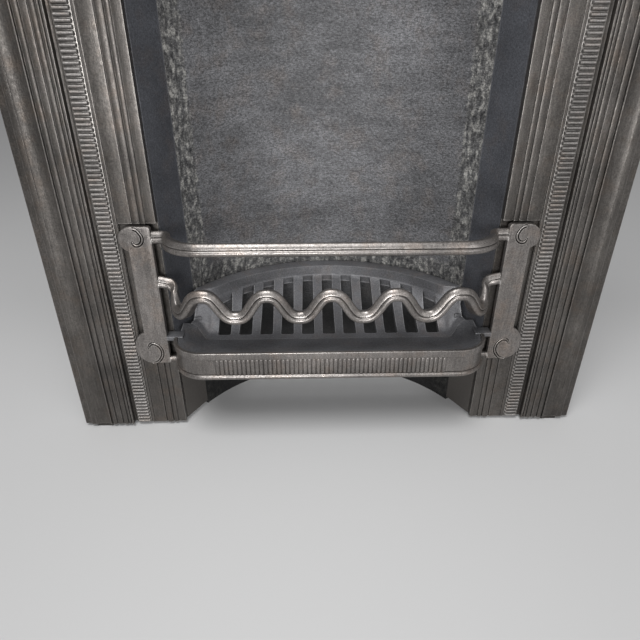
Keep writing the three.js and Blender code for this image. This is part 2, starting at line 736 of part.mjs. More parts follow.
function apronPlate() {
  const half = apron.thickness / 2;
  const face = half - apron.recess;
  const section = [
    V2(-half, apron.bottom),
    V2(face, apron.bottom),
    V2(face, apron.bandBottom - 0.5),
    V2(half, apron.bandBottom + 0.5),
    V2(half, apron.top),
    V2(-half, apron.top),
  ];
  const plate = sweep(() => section, barPlan(half, { stub: false }));
  const plateFace = -frontReach + apron.recess;
  const count = Math.floor(apron.ribHalf / apron.ribPitch);
  const outline = [];
  for (let i = -count; i <= count; i++) {
    outline.push(V2((i - 0.5) * apron.ribPitch, plateFace - 0.2));
    outline.push(V2(i * apron.ribPitch, -frontReach - 0.4));
  }
  const end = (count + 0.5) * apron.ribPitch;
  outline.push(V2(end, plateFace - 0.2), V2(end, plateFace + 1), V2(-end, plateFace + 1));
  return fuse(plate, prism("z", outline, apron.bottom, apron.bandBottom));
}

function bottomRail() {
  const section = [];
  for (let i = 0; i < 8; i++) {
    const a = degrees(45 * i + 22.5);
    section.push(V2(railRadius * Math.cos(a), railRadius * Math.sin(a)));
  }
  const inset = railRadius - railProud;
  return fuse(sweep(() => section, barPlan(inset), () => railZ), tenons(railZ));
}

// Height of the line where the pan meets the grate, from its straight part (0) up the slant to the
// wing (1).
const frontStripZ = (straightZ, slant) => straightZ + (grate.wingZ - straightZ) * smooth(slant);

// The dished pan behind the apron. Each column runs from the rim back to the grate; at the ends the
// columns turn with the rim and the pan rises into a wing beside the grate.
function frontPan() {
  const inset = apron.thickness + runningGap;
  const half = barPlan(inset, { stub: false, straightSteps: 6, cornerSteps: 8 });
  const straight = frontHalf - frontCorner;
  const sideX = half.at(-1).x;
  const columns = half.map(({ x, y, heading }) => {
    const turn = heading / (Math.PI / 2);
    const diagonal = clamp(turn / 0.625, 0, 1);
    const along = clamp((turn - 0.625) / 0.375, 0, 1);
    const rearX = heading
      ? pan.rearHalf + (pan.wingX - pan.rearHalf) * diagonal + (sideX - pan.wingX) * along
      : (pan.rearHalf * x) / straight;
    const rearY = pan.rear + (pan.wingRear - pan.rear) * diagonal;
    const rearZ = frontStripZ(pan.rearZ, diagonal) + (pan.wingZ - grate.wingZ) * along;
    return { front: V2(x, y), rear: V2(rearX, rearY), rearZ, dish: pan.dish * (1 - along) };
  });
  const left = columns.slice(1).reverse().map(({ front, rear, ...rest }) => ({
    front: V2(-front.x, front.y),
    rear: V2(-rear.x, rear.y),
    ...rest,
  }));
  const rimZ = apron.top - 1.5;
  const steps = [0, 0.12, 0.3, 0.55, 0.8, 1];
  const section = ({ front, rear, rearZ, dish }) => {
    const length = front.distanceTo(rear);
    const top = steps.map((t) => {
      const z = rimZ + (rearZ - rimZ) * t - dish * 4 * t * (1 - t);
      return V2(t * length, z);
    });
    return [...top, ...top.map((p) => V2(p.x, p.y - pan.thickness)).reverse()];
  };
  const all = [...left, ...columns];
  const outlines = all.map(section);
  const rings = all.map(({ front, rear }, i) => {
    const direction = rear.clone().sub(front).normalize();
    return outlines[i].map((p) => V3(front.x + direction.x * p.x, front.y + direction.y * p.x, p.y));
  });
  const plate = skin(rings, outlines[0], outlines.at(-1));
  const earPiece = (s) => {
    const [x0, x1] = [sideX - ear.lap, uprightInner - runningGap].map((x) => s * x).sort((a, b) => a - b);
    return box(x0, x1, half.at(-1).y + runningGap, ear.back, ear.top - ear.thickness, ear.top);
  };
  return fuse(plate, [-1, 1].map(earPiece));
}

function uprightOutline() {
  const { bottom, corner } = upright;
  const [low, high] = [bottomLobe, topLobe];
  const lowX = uprightOuter - low.inset;
  const highX = uprightOuter - high.inset;
  const shape = new THREE.Shape();
  shape.moveTo(uprightInner, bottom);
  shape.lineTo(lowX, bottom);
  const lowTurn = Math.acos(low.inset / low.rx);
  const highTurn = Math.acos(high.inset / high.rx);
  shape.absellipse(lowX, bottom + low.rz, low.rx, low.rz, -Math.PI / 2, lowTurn, false);
  shape.absellipse(highX, uprightTop - high.rz, high.rx, high.rz, -highTurn, Math.PI / 2, false);
  shape.lineTo(uprightInner + corner, uprightTop);
  shape.quadraticCurveTo(uprightInner, uprightTop, uprightInner, uprightTop - corner);
  return shape;
}

// The comma-shaped groove round a boss: it starts at the edge of the lobe and winds round the boss.
function scroll({ inset, rx, rz, start, sweep: turn }, z) {
  const x = uprightOuter - inset;
  const steps = 14;
  const mouth = 0.22; // share of the turn over which the groove runs in from the edge
  const curled = 0.8; // share of the turn after which it curls in towards the middle
  const edge = (offset) => {
    const points = [];
    for (let i = 0; i <= steps; i++) {
      const t = i / steps;
      const a = degrees(start + turn * t);
      const grow = offset + (scrollGroove.flare * Math.max(0, mouth - t)) / mouth;
      const share = 1 - scrollGroove.curl * Math.max(0, (t - curled) / (1 - curled));
      points.push(V2(x + (rx + grow) * share * Math.cos(a), z + (rz + grow) * share * Math.sin(a)));
    }
    return points;
  };
  const half = scrollGroove.width / 2;
  return [...edge(half), ...edge(-half).reverse()];
}

function uprightPiece() {
  const plate = prism("y", uprightOutline(), -upright.front, -upright.back, 7);
  const [x0, x1] = [hookX - hook.width / 2, hookX + hook.width / 2];
  const tongueFront = pocket.floor + pocket.plate + runningGap;
  const tongueBack = tongueFront + hook.tongue;
  const hooks = hookZ.flatMap((z) => [
    box(x0, x1, -upright.back - 1, tongueBack, z, z + hook.height),
    box(x0, x1, tongueFront, tongueBack, z - hook.drop, z + hook.height),
  ]);
  const grooveFloor = -upright.front + scrollGroove.depth;
  const sockets = [topBarMiddle, waveEnd, railZ].map((z) =>
    rod("x", stubY, z, tenon.radius + tenon.gap, uprightInner - 1, uprightInner + tenon.length + 1),
  );
  const scrolls = [
    scroll(topBoss, uprightTop - topBoss.down),
    scroll(bottomBoss, upright.bottom + bottomBoss.up),
  ];
  return cut(
    fuse(plate, hooks),
    scrolls.map((outline) => prism("y", outline, -upright.front - 1, grooveFloor)),
    sockets,
  );
}

// ---------------------------------------------------------------- grate
// Columns from the front strip up the slotted floor to the flat ledge that follows the fireback.
function bottomGrate() {
  const between = 8; // columns either side of the middle, over the straight part of the front edge
  const half = Array.from({ length: between + 1 }, (_, i) => (pan.rearHalf * i) / between);
  half.push((pan.rearHalf + pan.wingX) / 2, pan.wingX, grate.frontHalf);
  const columns = [...half.slice(1).reverse().map((x) => -x), ...half].map((x) => {
    const past = clamp((Math.abs(x) - pan.rearHalf) / (pan.wingX - pan.rearHalf), 0, 1);
    const front = V2(x, pan.rear + (pan.wingRear - pan.rear) * past + grate.clearance);
    const rearX = (x * grate.rearHalf) / grate.frontHalf;
    const rear = V2(rearX, backCentreY + Math.sqrt(grateRadius ** 2 - rearX ** 2));
    const wing = smooth((Math.abs(x) / grate.frontHalf - 0.8) / 0.2);
    return { front, rear, wing, frontZ: frontStripZ(grate.frontZ, past) };
  });
  const outlines = columns.map(({ front, rear, wing, frontZ }) => {
    const length = front.distanceTo(rear);
    const direction = rear.clone().sub(front).normalize();
    const fromCentre = V2(front.x, front.y - backCentreY);
    const b = fromCentre.dot(direction);
    const gap = grate.ledgeRadius ** 2 - fromCentre.lengthSq();
    const reach = gap > 0 ? -b + Math.sqrt(b * b + gap) : 0;
    const ledgeAt = Math.max(reach, 0.6 * length);
    const strip = Math.min(grate.stripDepth, 0.15 * length + 4);
    const innerZ = grate.innerZ + (grate.wingInnerZ - grate.innerZ) * wing;
    const [t, under] = [grate.thickness, grate.ledgeZ - grate.ledgeThickness];
    const dishZ = (share) => frontZ + (innerZ - frontZ) * share ** 1.5;
    const floorAt = (share) => V2(strip + share * (ledgeAt - 1 - strip), dishZ(share));
    const dish = [0, 0.35, 0.7, 1].map(floorAt);
    return [
      V2(0, frontZ),
      ...dish,
      V2(ledgeAt, grate.ledgeZ),
      V2(length, grate.ledgeZ),
      V2(length, under),
      V2(Math.min(ledgeAt + 7, length - 2), under),
      V2(Math.min(ledgeAt + 6, length - 3), Math.min(innerZ - t + 3, under - 1)),
      ...dish.slice(0, 3).reverse().map((p) => V2(p.x, p.y - t)),
      V2(0, frontZ - t),
    ];
  });
  const rings = columns.map(({ front, rear }, i) => {
    const direction = rear.clone().sub(front).normalize();
    return outlines[i].map((p) => V3(front.x + direction.x * p.x, front.y + direction.y * p.x, p.y));
  });
  const plate = skin(rings, outlines[0], outlines.at(-1));
  const footPiece = (s) => {
    const [x0, x1] = [grateFoot.x, grateFoot.x + grateFoot.width].map((x) => s * x).sort((a, b) => a - b);
    const inPlate = grate.wingZ + 4;
    return box(x0, x1, grateFoot.front, grateFoot.back, grateFoot.z, inPlate);
  };
  return cut(fuse(plate, [-1, 1].map(footPiece)), slotPrisms(pan.rear + grate.clearance + grate.stripDepth));
}

function slotPrisms(front) {
  const middle = (slots.count - 1) / 2;
  const radius = grate.ledgeRadius - slots.inset;
  const archAt = (x) => backCentreY + Math.sqrt(radius ** 2 - x ** 2);
  return Array.from({ length: slots.count }, (_, i) => {
    const x = (i - middle) * slots.pitch;
    const [f, b] = [slots.front / 2, slots.back / 2];
    const outline = new THREE.Shape();
    outline.moveTo(x - f + 3, front);
    outline.lineTo(x + f - 3, front);
    outline.quadraticCurveTo(x + f, front, x + f, front + 3);
    outline.lineTo(x + b, archAt(x + b) - 1.2);
    outline.lineTo(x - b, archAt(x - b) - 1.2);
    outline.lineTo(x - f, front + 3);
    outline.quadraticCurveTo(x - f, front, x - f + 3, front);
    return prism("z", outline, grate.frontZ - 20, grate.ledgeZ - 2, 3);
  });
}

// ---------------------------------------------------------------- fixings
function cleatPlate() {
  const [x0, x1] = [cleatHead.x - lugHalf, cleatJamb.x + lugHalf];
  const [z0, z1] = [cleatJamb.z - lugHalf + cleat.trim, cleatHead.z + lugHalf];
  const front = webBack + bossDepth;
  return cut(
    box(x0, x1, front, front + cleat.thickness, z0, z1),
    [cleatJamb, cleatHead].map(({ x, z }) => boltHole(x, z, 0, wallPlane)),
  );
}

// A hexagon head behind its seat and a shank that runs forward, or up, to the given tip.
function boltFromBehind(x, z, seatY, tip) {
  return fuse(
    rod("y", x, z, bolt.head, seatY, seatY + bolt.headHeight, 6),
    rod("y", x, z, bolt.shank, tip, seatY + 1),
  );
}

function shelfBoltSolid() {
  const under = frameTop - legThickness;
  const tip = frameTop + shelfThickness - shelfFixing.cover - 1;
  return fuse(
    rod("z", shelfFixing.x, shelfFixing.y, bolt.head, under - bolt.headHeight, under, 6),
    rod("z", shelfFixing.x, shelfFixing.y, bolt.shank, under - 1, tip),
  );
}

// ---------------------------------------------------------------- assembly
const iron = (color, roughness) => new THREE.MeshStandardMaterial({ color, roughness, metalness: 0.85 });
const frameIron = iron(0x5b5654, 0.5);
const barIron = iron(0x8f8884, 0.38);
const darkIron = iron(0x45464a, 0.6);
const backIron = iron(0x55555a, 0.85);
const grateIron = iron(0x6e6c6f, 0.6);
const boltSteel = new THREE.MeshStandardMaterial({ color: 0x777a7c, roughness: 0.45, metalness: 1 });

const fireplace = new THREE.Group();

function toGeometry(made) {
  const { numProp, vertProperties, triVerts } = made.getMesh();
  const positions = new Float32Array((vertProperties.length / numProp) * 3);
  for (let i = 0; i * numProp < vertProperties.length; i++) {
    positions.set(vertProperties.subarray(i * numProp, i * numProp + 3), i * 3);
  }
  const g = new THREE.BufferGeometry();
  g.setAttribute("position", new THREE.BufferAttribute(positions, 3));
  g.setIndex(new THREE.BufferAttribute(new Uint32Array(triVerts), 1));
  g.computeVertexNormals();
  return g;
}

function add(name, made, material) {
  const mesh = new THREE.Mesh(toGeometry(made), material);
  mesh.name = name;
  fireplace.add(mesh);
  return mesh;
}

// The right-hand piece as made, and the left-hand one as its mirror image.
function addPair(name, made, material) {
  const right = add("right_" + name, made, material);
  const left = new THREE.Mesh(right.geometry, material);
  left.name = "left_" + name;
  left.scale.x = -1;
  fireplace.add(left);
}

addPair("jamb", jamb(), frameIron);
add("head", head(), frameIron);
add("mantel_shelf", shelf(), frameIron);
addPair("corbel", corbelSolid(), frameIron);
addPair("cheek", cheek(), darkIron);
add("fireback", fireback(), backIron);
add("throat_plate", throatPlate(), darkIron);
add("damper_flap", damperFlap(), darkIron);
add("damper_hinge_pin", damperPin(), boltSteel);
add("damper_knob", damperKnob(), barIron);
addPair("upright", uprightPiece(), barIron);
add("top_bar", topBar(), barIron);
add("serpentine_bar", waveBar(), barIron);
add("ribbed_apron", apronPlate(), barIron);
add("bottom_rail", bottomRail(), barIron);
add("front_pan", frontPan(), grateIron);
add("bottom_grate", bottomGrate(), grateIron);

const tipBehindFace = blindDepth + 1;
const cleatBack = webBack + bossDepth + cleat.thickness;
addPair("corner_cleat", cleatPlate(), darkIron);
addPair("cleat_bolt_jamb", boltFromBehind(cleatJamb.x, cleatJamb.z, cleatBack, tipBehindFace), boltSteel);
addPair("cleat_bolt_head", boltFromBehind(cleatHead.x, cleatHead.z, cleatBack, tipBehindFace), boltSteel);
const corbelTip = -corbel.back - corbel.boltDepth + 1;
addPair("corbel_bolt", boltFromBehind(corbelX, corbelBoltZ, webBack, corbelTip), boltSteel);
addPair("shelf_bolt", shelfBoltSolid(), boltSteel);
cheekBoltZ.forEach((z, i) => {
  const made = boltFromBehind(cheekBoltX, z, returnDepth + lugThickness, tipBehindFace);
  addPair("cheek_bolt_" + (i + 1), made, boltSteel);
});
backBoltZ.forEach((z, i) => {
  const seatY = cheekBack + runningGap + lugThickness;
  const made = boltFromBehind(backBoltX, z, seatY, cheekBack - lugThickness - bolt.bite);
  addPair("fireback_bolt_" + (i + 1), made, boltSteel);
});
const throatSeat = returnDepth + runningGap + lugThickness;
addPair("throat_bolt", boltFromBehind(throatFixing.x, throatBoltZ, throatSeat, tipBehindFace), boltSteel);

fireplace.position.y = (shelfFront - backMost) / 2;

export default fireplace;
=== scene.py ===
"""A cast iron fireplace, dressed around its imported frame.

Shapes are worked out in millimetres, with X along the front, Y back from the face of the jambs and
Z up from the floor, and become metres of the frame as each mesh is made.
"""

import math

import bmesh
import bpy
from mathutils import Matrix, Vector, noise


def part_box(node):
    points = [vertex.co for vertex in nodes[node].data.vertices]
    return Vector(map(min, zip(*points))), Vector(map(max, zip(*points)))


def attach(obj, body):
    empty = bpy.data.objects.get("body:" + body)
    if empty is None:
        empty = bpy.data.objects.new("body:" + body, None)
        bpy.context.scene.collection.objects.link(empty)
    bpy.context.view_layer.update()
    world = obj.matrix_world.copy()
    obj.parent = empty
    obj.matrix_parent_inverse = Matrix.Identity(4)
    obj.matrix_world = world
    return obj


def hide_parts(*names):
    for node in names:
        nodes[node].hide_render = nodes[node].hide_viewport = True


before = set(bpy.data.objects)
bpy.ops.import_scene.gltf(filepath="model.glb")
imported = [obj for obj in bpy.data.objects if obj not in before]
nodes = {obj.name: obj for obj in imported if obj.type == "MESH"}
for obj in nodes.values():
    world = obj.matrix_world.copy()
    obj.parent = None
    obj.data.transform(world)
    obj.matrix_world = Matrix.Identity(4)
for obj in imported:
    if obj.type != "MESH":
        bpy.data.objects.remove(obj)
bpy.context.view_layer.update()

MM = 0.001
WALL_PLANE = 22  # how far the wall is behind the face of the jambs
FACE_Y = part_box("right_jamb")[1][1] - WALL_PLANE * MM


def box_mm(node):
    """Lowest and highest corners of a CAD node, in the millimetres of this script."""
    low, high = (Vector(corner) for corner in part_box(node))
    shift = Vector((0, FACE_Y, 0))
    return (low - shift) / MM, (high - shift) / MM


jamb_low = box_mm("right_jamb")[0]
head_low, head_high = box_mm("head")
upright_low, upright_high = box_mm("right_upright")
apron_low, apron_high = box_mm("ribbed_apron")
rail_low, rail_high = box_mm("bottom_rail")
top_bar_low, top_bar_high = box_mm("top_bar")
wave_low, wave_high = box_mm("serpentine_bar")
grate_high = box_mm("bottom_grate")[1]
back_low, back_high = box_mm("fireback")
shelf_low, shelf_high = box_mm("mantel_shelf")
corbel_low, corbel_high = box_mm("right_corbel")

# ------------------------------------------------------------------ sizes
FRAME_TOP = head_high.z
OPENING_TOP = head_low.z
OPENING_HALF = jamb_low.x
FACE_WIDTH = FRAME_TOP - OPENING_TOP
HALF_WIDTH = OPENING_HALF + FACE_WIDTH
JAMB_BOTTOM = 6
WEB_BACK = 5
LEG = 7
RETURN_DEPTH = 10
RETURN_THICKNESS = 8
RUNNING_GAP = 0.3
MITRE_SHIFT = RUNNING_GAP / math.sqrt(2)
HOLE_RADIUS = 4.2
BOSS_HALF = 15
BOSS_DEPTHS = (4, 10)

RIB_PITCH = 5.87
RIB_CREST = 3.4
RIB_VALLEY = -0.4

POCKET_MOUTH = 15
POCKET_PAST = 11
POCKET_BOTTOM = 128
POCKET_TOP = 329
POCKET_FLOOR = 3
MOUTH_FLOOR = 8
POCKET_PLATE = 6
POCKET_WALL = 6
HOOK_HEIGHTS = (165, 285)
HOOK_INSET = 11

UPRIGHT_INNER = OPENING_HALF + 5.5
UPRIGHT_OUTER = UPRIGHT_INNER + 31.5
UPRIGHT_FRONT = -12
UPRIGHT_BACK = -4

FRONT_REACH = 60.5
FRONT_HALF = 219.5
FRONT_CORNER = 46
STUB_RADIUS = 6.5
BAR_DEPTH = 17
BAR_END_DEPTH = 8
BAR_SLANT = 6.5
BAR_DRAFT = math.radians(17)
BAR_HALF = 216
BAR_CORNER = 54
WAVE_LENGTH = 83.2
WAVE_HEIGHT = 17.1
WAVE_ROUND = 1.3

CHEEK_FRONT_X = OPENING_HALF - 1
CHEEK_BACK_X = CHEEK_FRONT_X - 24
CHEEK_BACK = RETURN_DEPTH + 42
BACK_RADIUS = 239
BACK_THICKNESS = 8
BACK_CENTRE_Y = CHEEK_BACK - math.sqrt(BACK_RADIUS**2 - CHEEK_BACK_X**2)

# Members of the moulding from the outer edge: width, relief in front of the face, and crown.
OUTER_MEMBERS = [
    (10, 2.5, 0),
    (8, 5, 0),
    (21, 4.6, -2.4),
    (2.6, 5.2, 1.4),
    (1.6, 3.6, 0),
    (6.4, 5, 1.4),
    (1.6, 3.8, 0),
    (7.6, 5, 0.5),
    (1.4, 3.6, 0),
    (6.8, 4.8, 1.5),
    (1.2, 3.8, 0),
    (3.4, 4.8, 1),
    (1.6, 3.6, 0),
    (2.6, 6.8, 0),
    (4.8, -1.5, 0),
]
RIB_MEMBER = (21.8, 0.6, 0)
INNER_MEMBERS = [
    (1.4, -1, 0),
    (3.2, 1.6, 0),
    (0.8, 0.2, 0),
    (18, 1, 0),
    (1.6, -0.8, 0),
    (9, 1, 1.2),
    (1.4, -0.6, 0),
    (5.8, 0.8, 1.1),
    (1.4, -0.5, 0),
]
LAST_RELIEF = 0.3
RIB_START = sum(m[0] for m in OUTER_MEMBERS)
RIB_END = RIB_START + RIB_MEMBER[0]


# ------------------------------------------------------------------ mesh tools
def mesh_from(name, points, faces):
    """An object from points in millimetres and faces, with smooth curves and sharp corners."""
    mesh = bpy.data.meshes.new(name)
    placed = [(x * MM, y * MM + FACE_Y, z * MM) for x, y, z in points]
    mesh.from_pydata(placed, [], faces)
    mesh.validate()
    piece = bpy.data.objects.new(name, mesh)
    bpy.context.scene.collection.objects.link(piece)
    tidy_faces(piece)
    return piece


def tidy_faces(piece):
    """Faces that look outwards, smooth but for the corners over 38 degrees."""
    bm = bmesh.new()
    bm.from_mesh(piece.data)
    bmesh.ops.remove_doubles(bm, verts=bm.verts, dist=1e-6)
    bmesh.ops.recalc_face_normals(bm, faces=bm.faces)
    bm.to_mesh(piece.data)
    bm.free()
    piece.data.shade_smooth()
    piece.data.set_sharp_from_angle(angle=math.radians(38))


def loft(name, rings):
    """A solid over rings of equally many points, with flat ends."""
    count = len(rings[0])
    points = [p for ring in rings for p in ring]
    faces = []
    for base in range(0, len(points) - count, count):
        after = base + count
        for i in range(count):
            j = (i + 1) % count
            faces.append((base + i, base + j, after + j, after + i))
    faces.append(tuple(range(count)))
    faces.append(tuple(reversed(range(len(points) - count, len(points)))))
    return mesh_from(name, points, faces)


def prism(name, outline, axis, low, high):
    """An outline drawn across an axis, as (y, z), (x, z) or (x, y), and extruded along it."""

    def place(p, at):
        a, b = p
        return {"x": (at, a, b), "y": (a, at, b), "z": (a, b, at)}[axis]

    return loft(name, [[place(p, low) for p in outline], [place(p, high) for p in outline]])


def box(name, x0, x1, y0, y1, z0, z1):
    return prism(name, [(x0, y0), (x1, y0), (x1, y1), (x0, y1)], "z", z0, z1)


def arc(cx, cy, rx, ry, start, end, steps):
    """Points of an ellipse's arc, with its ends, by degrees."""
    turns = [math.radians(start + (end - start) * i / steps) for i in range(steps + 1)]
    return [(cx + rx * math.cos(a), cy + ry * math.sin(a)) for a in turns]


def rounded(points, radius, steps=2):
    """The closed outline with each corner turned into a small curve."""
    made = []
    count = len(points)
    for i, (x, y) in enumerate(points):
        here = Vector((x, y))
        before = Vector(points[i - 1]) - here
        after = Vector(points[(i + 1) % count]) - here
        if before.length < 1e-6 or after.length < 1e-6:
            continue
        turn = math.pi - before.angle(after, math.pi)
        if turn < math.radians(12):
            made.append((x, y))
            continue
        reach = min(radius, 0.45 * before.length, 0.45 * after.length)
        a = here + before.normalized() * reach
        b = here + after.normalized() * reach
        for k in range(steps + 1):
            t = k / steps
            p = a * (1 - t) ** 2 + here * 2 * t * (1 - t) + b * t**2
            made.append((p.x, p.y))
    return made


def apply_modifiers(piece):
    """Turns the piece's modifiers into its mesh."""
    depsgraph = bpy.context.evaluated_depsgraph_get()
    mesh = bpy.data.meshes.new_from_object(piece.evaluated_get(depsgraph))
    old = piece.data
    piece.modifiers.clear()
    piece.data = mesh
    mesh.name = piece.name
    bpy.data.meshes.remove(old)
    return piece


def combine(piece, others, operation):
    """Joins other solids to the piece, or cuts them out of it, and deletes them."""
    for other in others:
        made = piece.modifiers.new(operation, "BOOLEAN")
        made.operation = operation
        made.solver = "EXACT"
        made.object = other
        bpy.context.view_layer.update()
        apply_modifiers(piece)
        mesh = other.data
        bpy.data.objects.remove(other)
        bpy.data.meshes.remove(mesh)
    tidy_faces(piece)
    return piece


def joined(name, parts):
    """Separate closed shells as one object."""
    points, faces = [], []
    for part in parts:
        start = len(points)
        points += [tuple(v.co) for v in part.data.vertices]
        faces += [tuple(start + i for i in face.vertices) for face in part.data.polygons]
        mesh = part.data
        bpy.data.objects.remove(part)
        bpy.data.meshes.remove(mesh)
    whole = bpy.data.meshes.new(name)
    whole.from_pydata(points, [], faces)
    piece = bpy.data.objects.new(name, whole)
    bpy.context.scene.collection.objects.link(piece)
    tidy_faces(piece)
    return piece


def eased(piece, width, segments=2):
    """The piece with its edges over 34 degrees rounded off."""
    bevel = piece.modifiers.new("eased", "BEVEL")
    bevel.width = width * MM
    bevel.segments = segments
    bevel.limit_method = "ANGLE"
    bevel.angle_limit = math.radians(34)
    bevel.harden_normals = False
    bpy.context.view_layer.update()
    apply_modifiers(piece)
    tidy_faces(piece)
    return piece


def mirrored(piece, name):
    """The piece's mirror image on the other side of the middle."""
    mesh = piece.data.copy()
    mesh.name = name
    mesh.transform(Matrix.Scale(-1, 4, (1, 0, 0)))
    mesh.flip_normals()
    other = bpy.data.objects.new(name, mesh)
    bpy.context.scene.collection.objects.link(other)
    return other


def dress(piece, material, body, slot, *replaced):
    """Gives the piece its material and the body that it rides on, and hides the nodes that it stands for; the
    slot is not used.
    """
    piece.data.materials.clear()
    piece.data.materials.append(material)
    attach(piece, body)
    if replaced:
        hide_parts(*replaced)
    return piece


def dress_pair(make, name, material, body, slot):
    """The right-hand piece from a function, and its mirror image."""
    right = make("right_" + name + "_casting")
    left = mirrored(right, "left_" + name + "_casting")
    dress(right, material, body, slot, "right_" + name)
    dress(left, material, body, slot, "left_" + name)


def smooth(t):
    """0 to 1 with soft ends."""
    t = min(max(t, 0), 1)
    return t * t * (3 - 2 * t)


# ------------------------------------------------------------------ materials
def node(tree, kind, **values):
    """A shader node, with its settings and input values by name."""
    made = tree.nodes.new(kind)
    for key, value in values.items():
        if hasattr(made, key):
            setattr(made, key, value)
        else:
            made.inputs[key.replace("_", " ")].default_value = value
    return made


def ramp(tree, source, stops):
    """A colour ramp over a value; stops are (place, grey or colour)."""
    made = tree.nodes.new("ShaderNodeValToRGB")
    elements = made.color_ramp.elements
    while len(elements) < len(stops):
        elements.new(0.5)
    for element, (place, colour) in zip(elements, stops):
        element.position = place
        values = colour if isinstance(colour, tuple) else (colour,) * 3
        element.color = (*values, 1)
    tree.links.new(source, made.inputs["Fac"])
    return made.outputs["Color"]


def mixed(tree, factor, a, b, blend="MIX"):
    """Two colours mixed; each value is a number, a colour or a socket."""
    made = tree.nodes.new("ShaderNodeMix")
    made.data_type = "RGBA"
    made.blend_type = blend
    for socket, value in ((0, factor), (6, a), (7, b)):
        if isinstance(value, (int, float)):
            made.inputs[socket].default_value = value
        elif isinstance(value, tuple):
            made.inputs[socket].default_value = (*value, 1)
        else:
            tree.links.new(value, made.inputs[socket])
    return made.outputs[2]


RUST_TINT = (0.5 / 0.42, 1.0, 0.36 / 0.42)


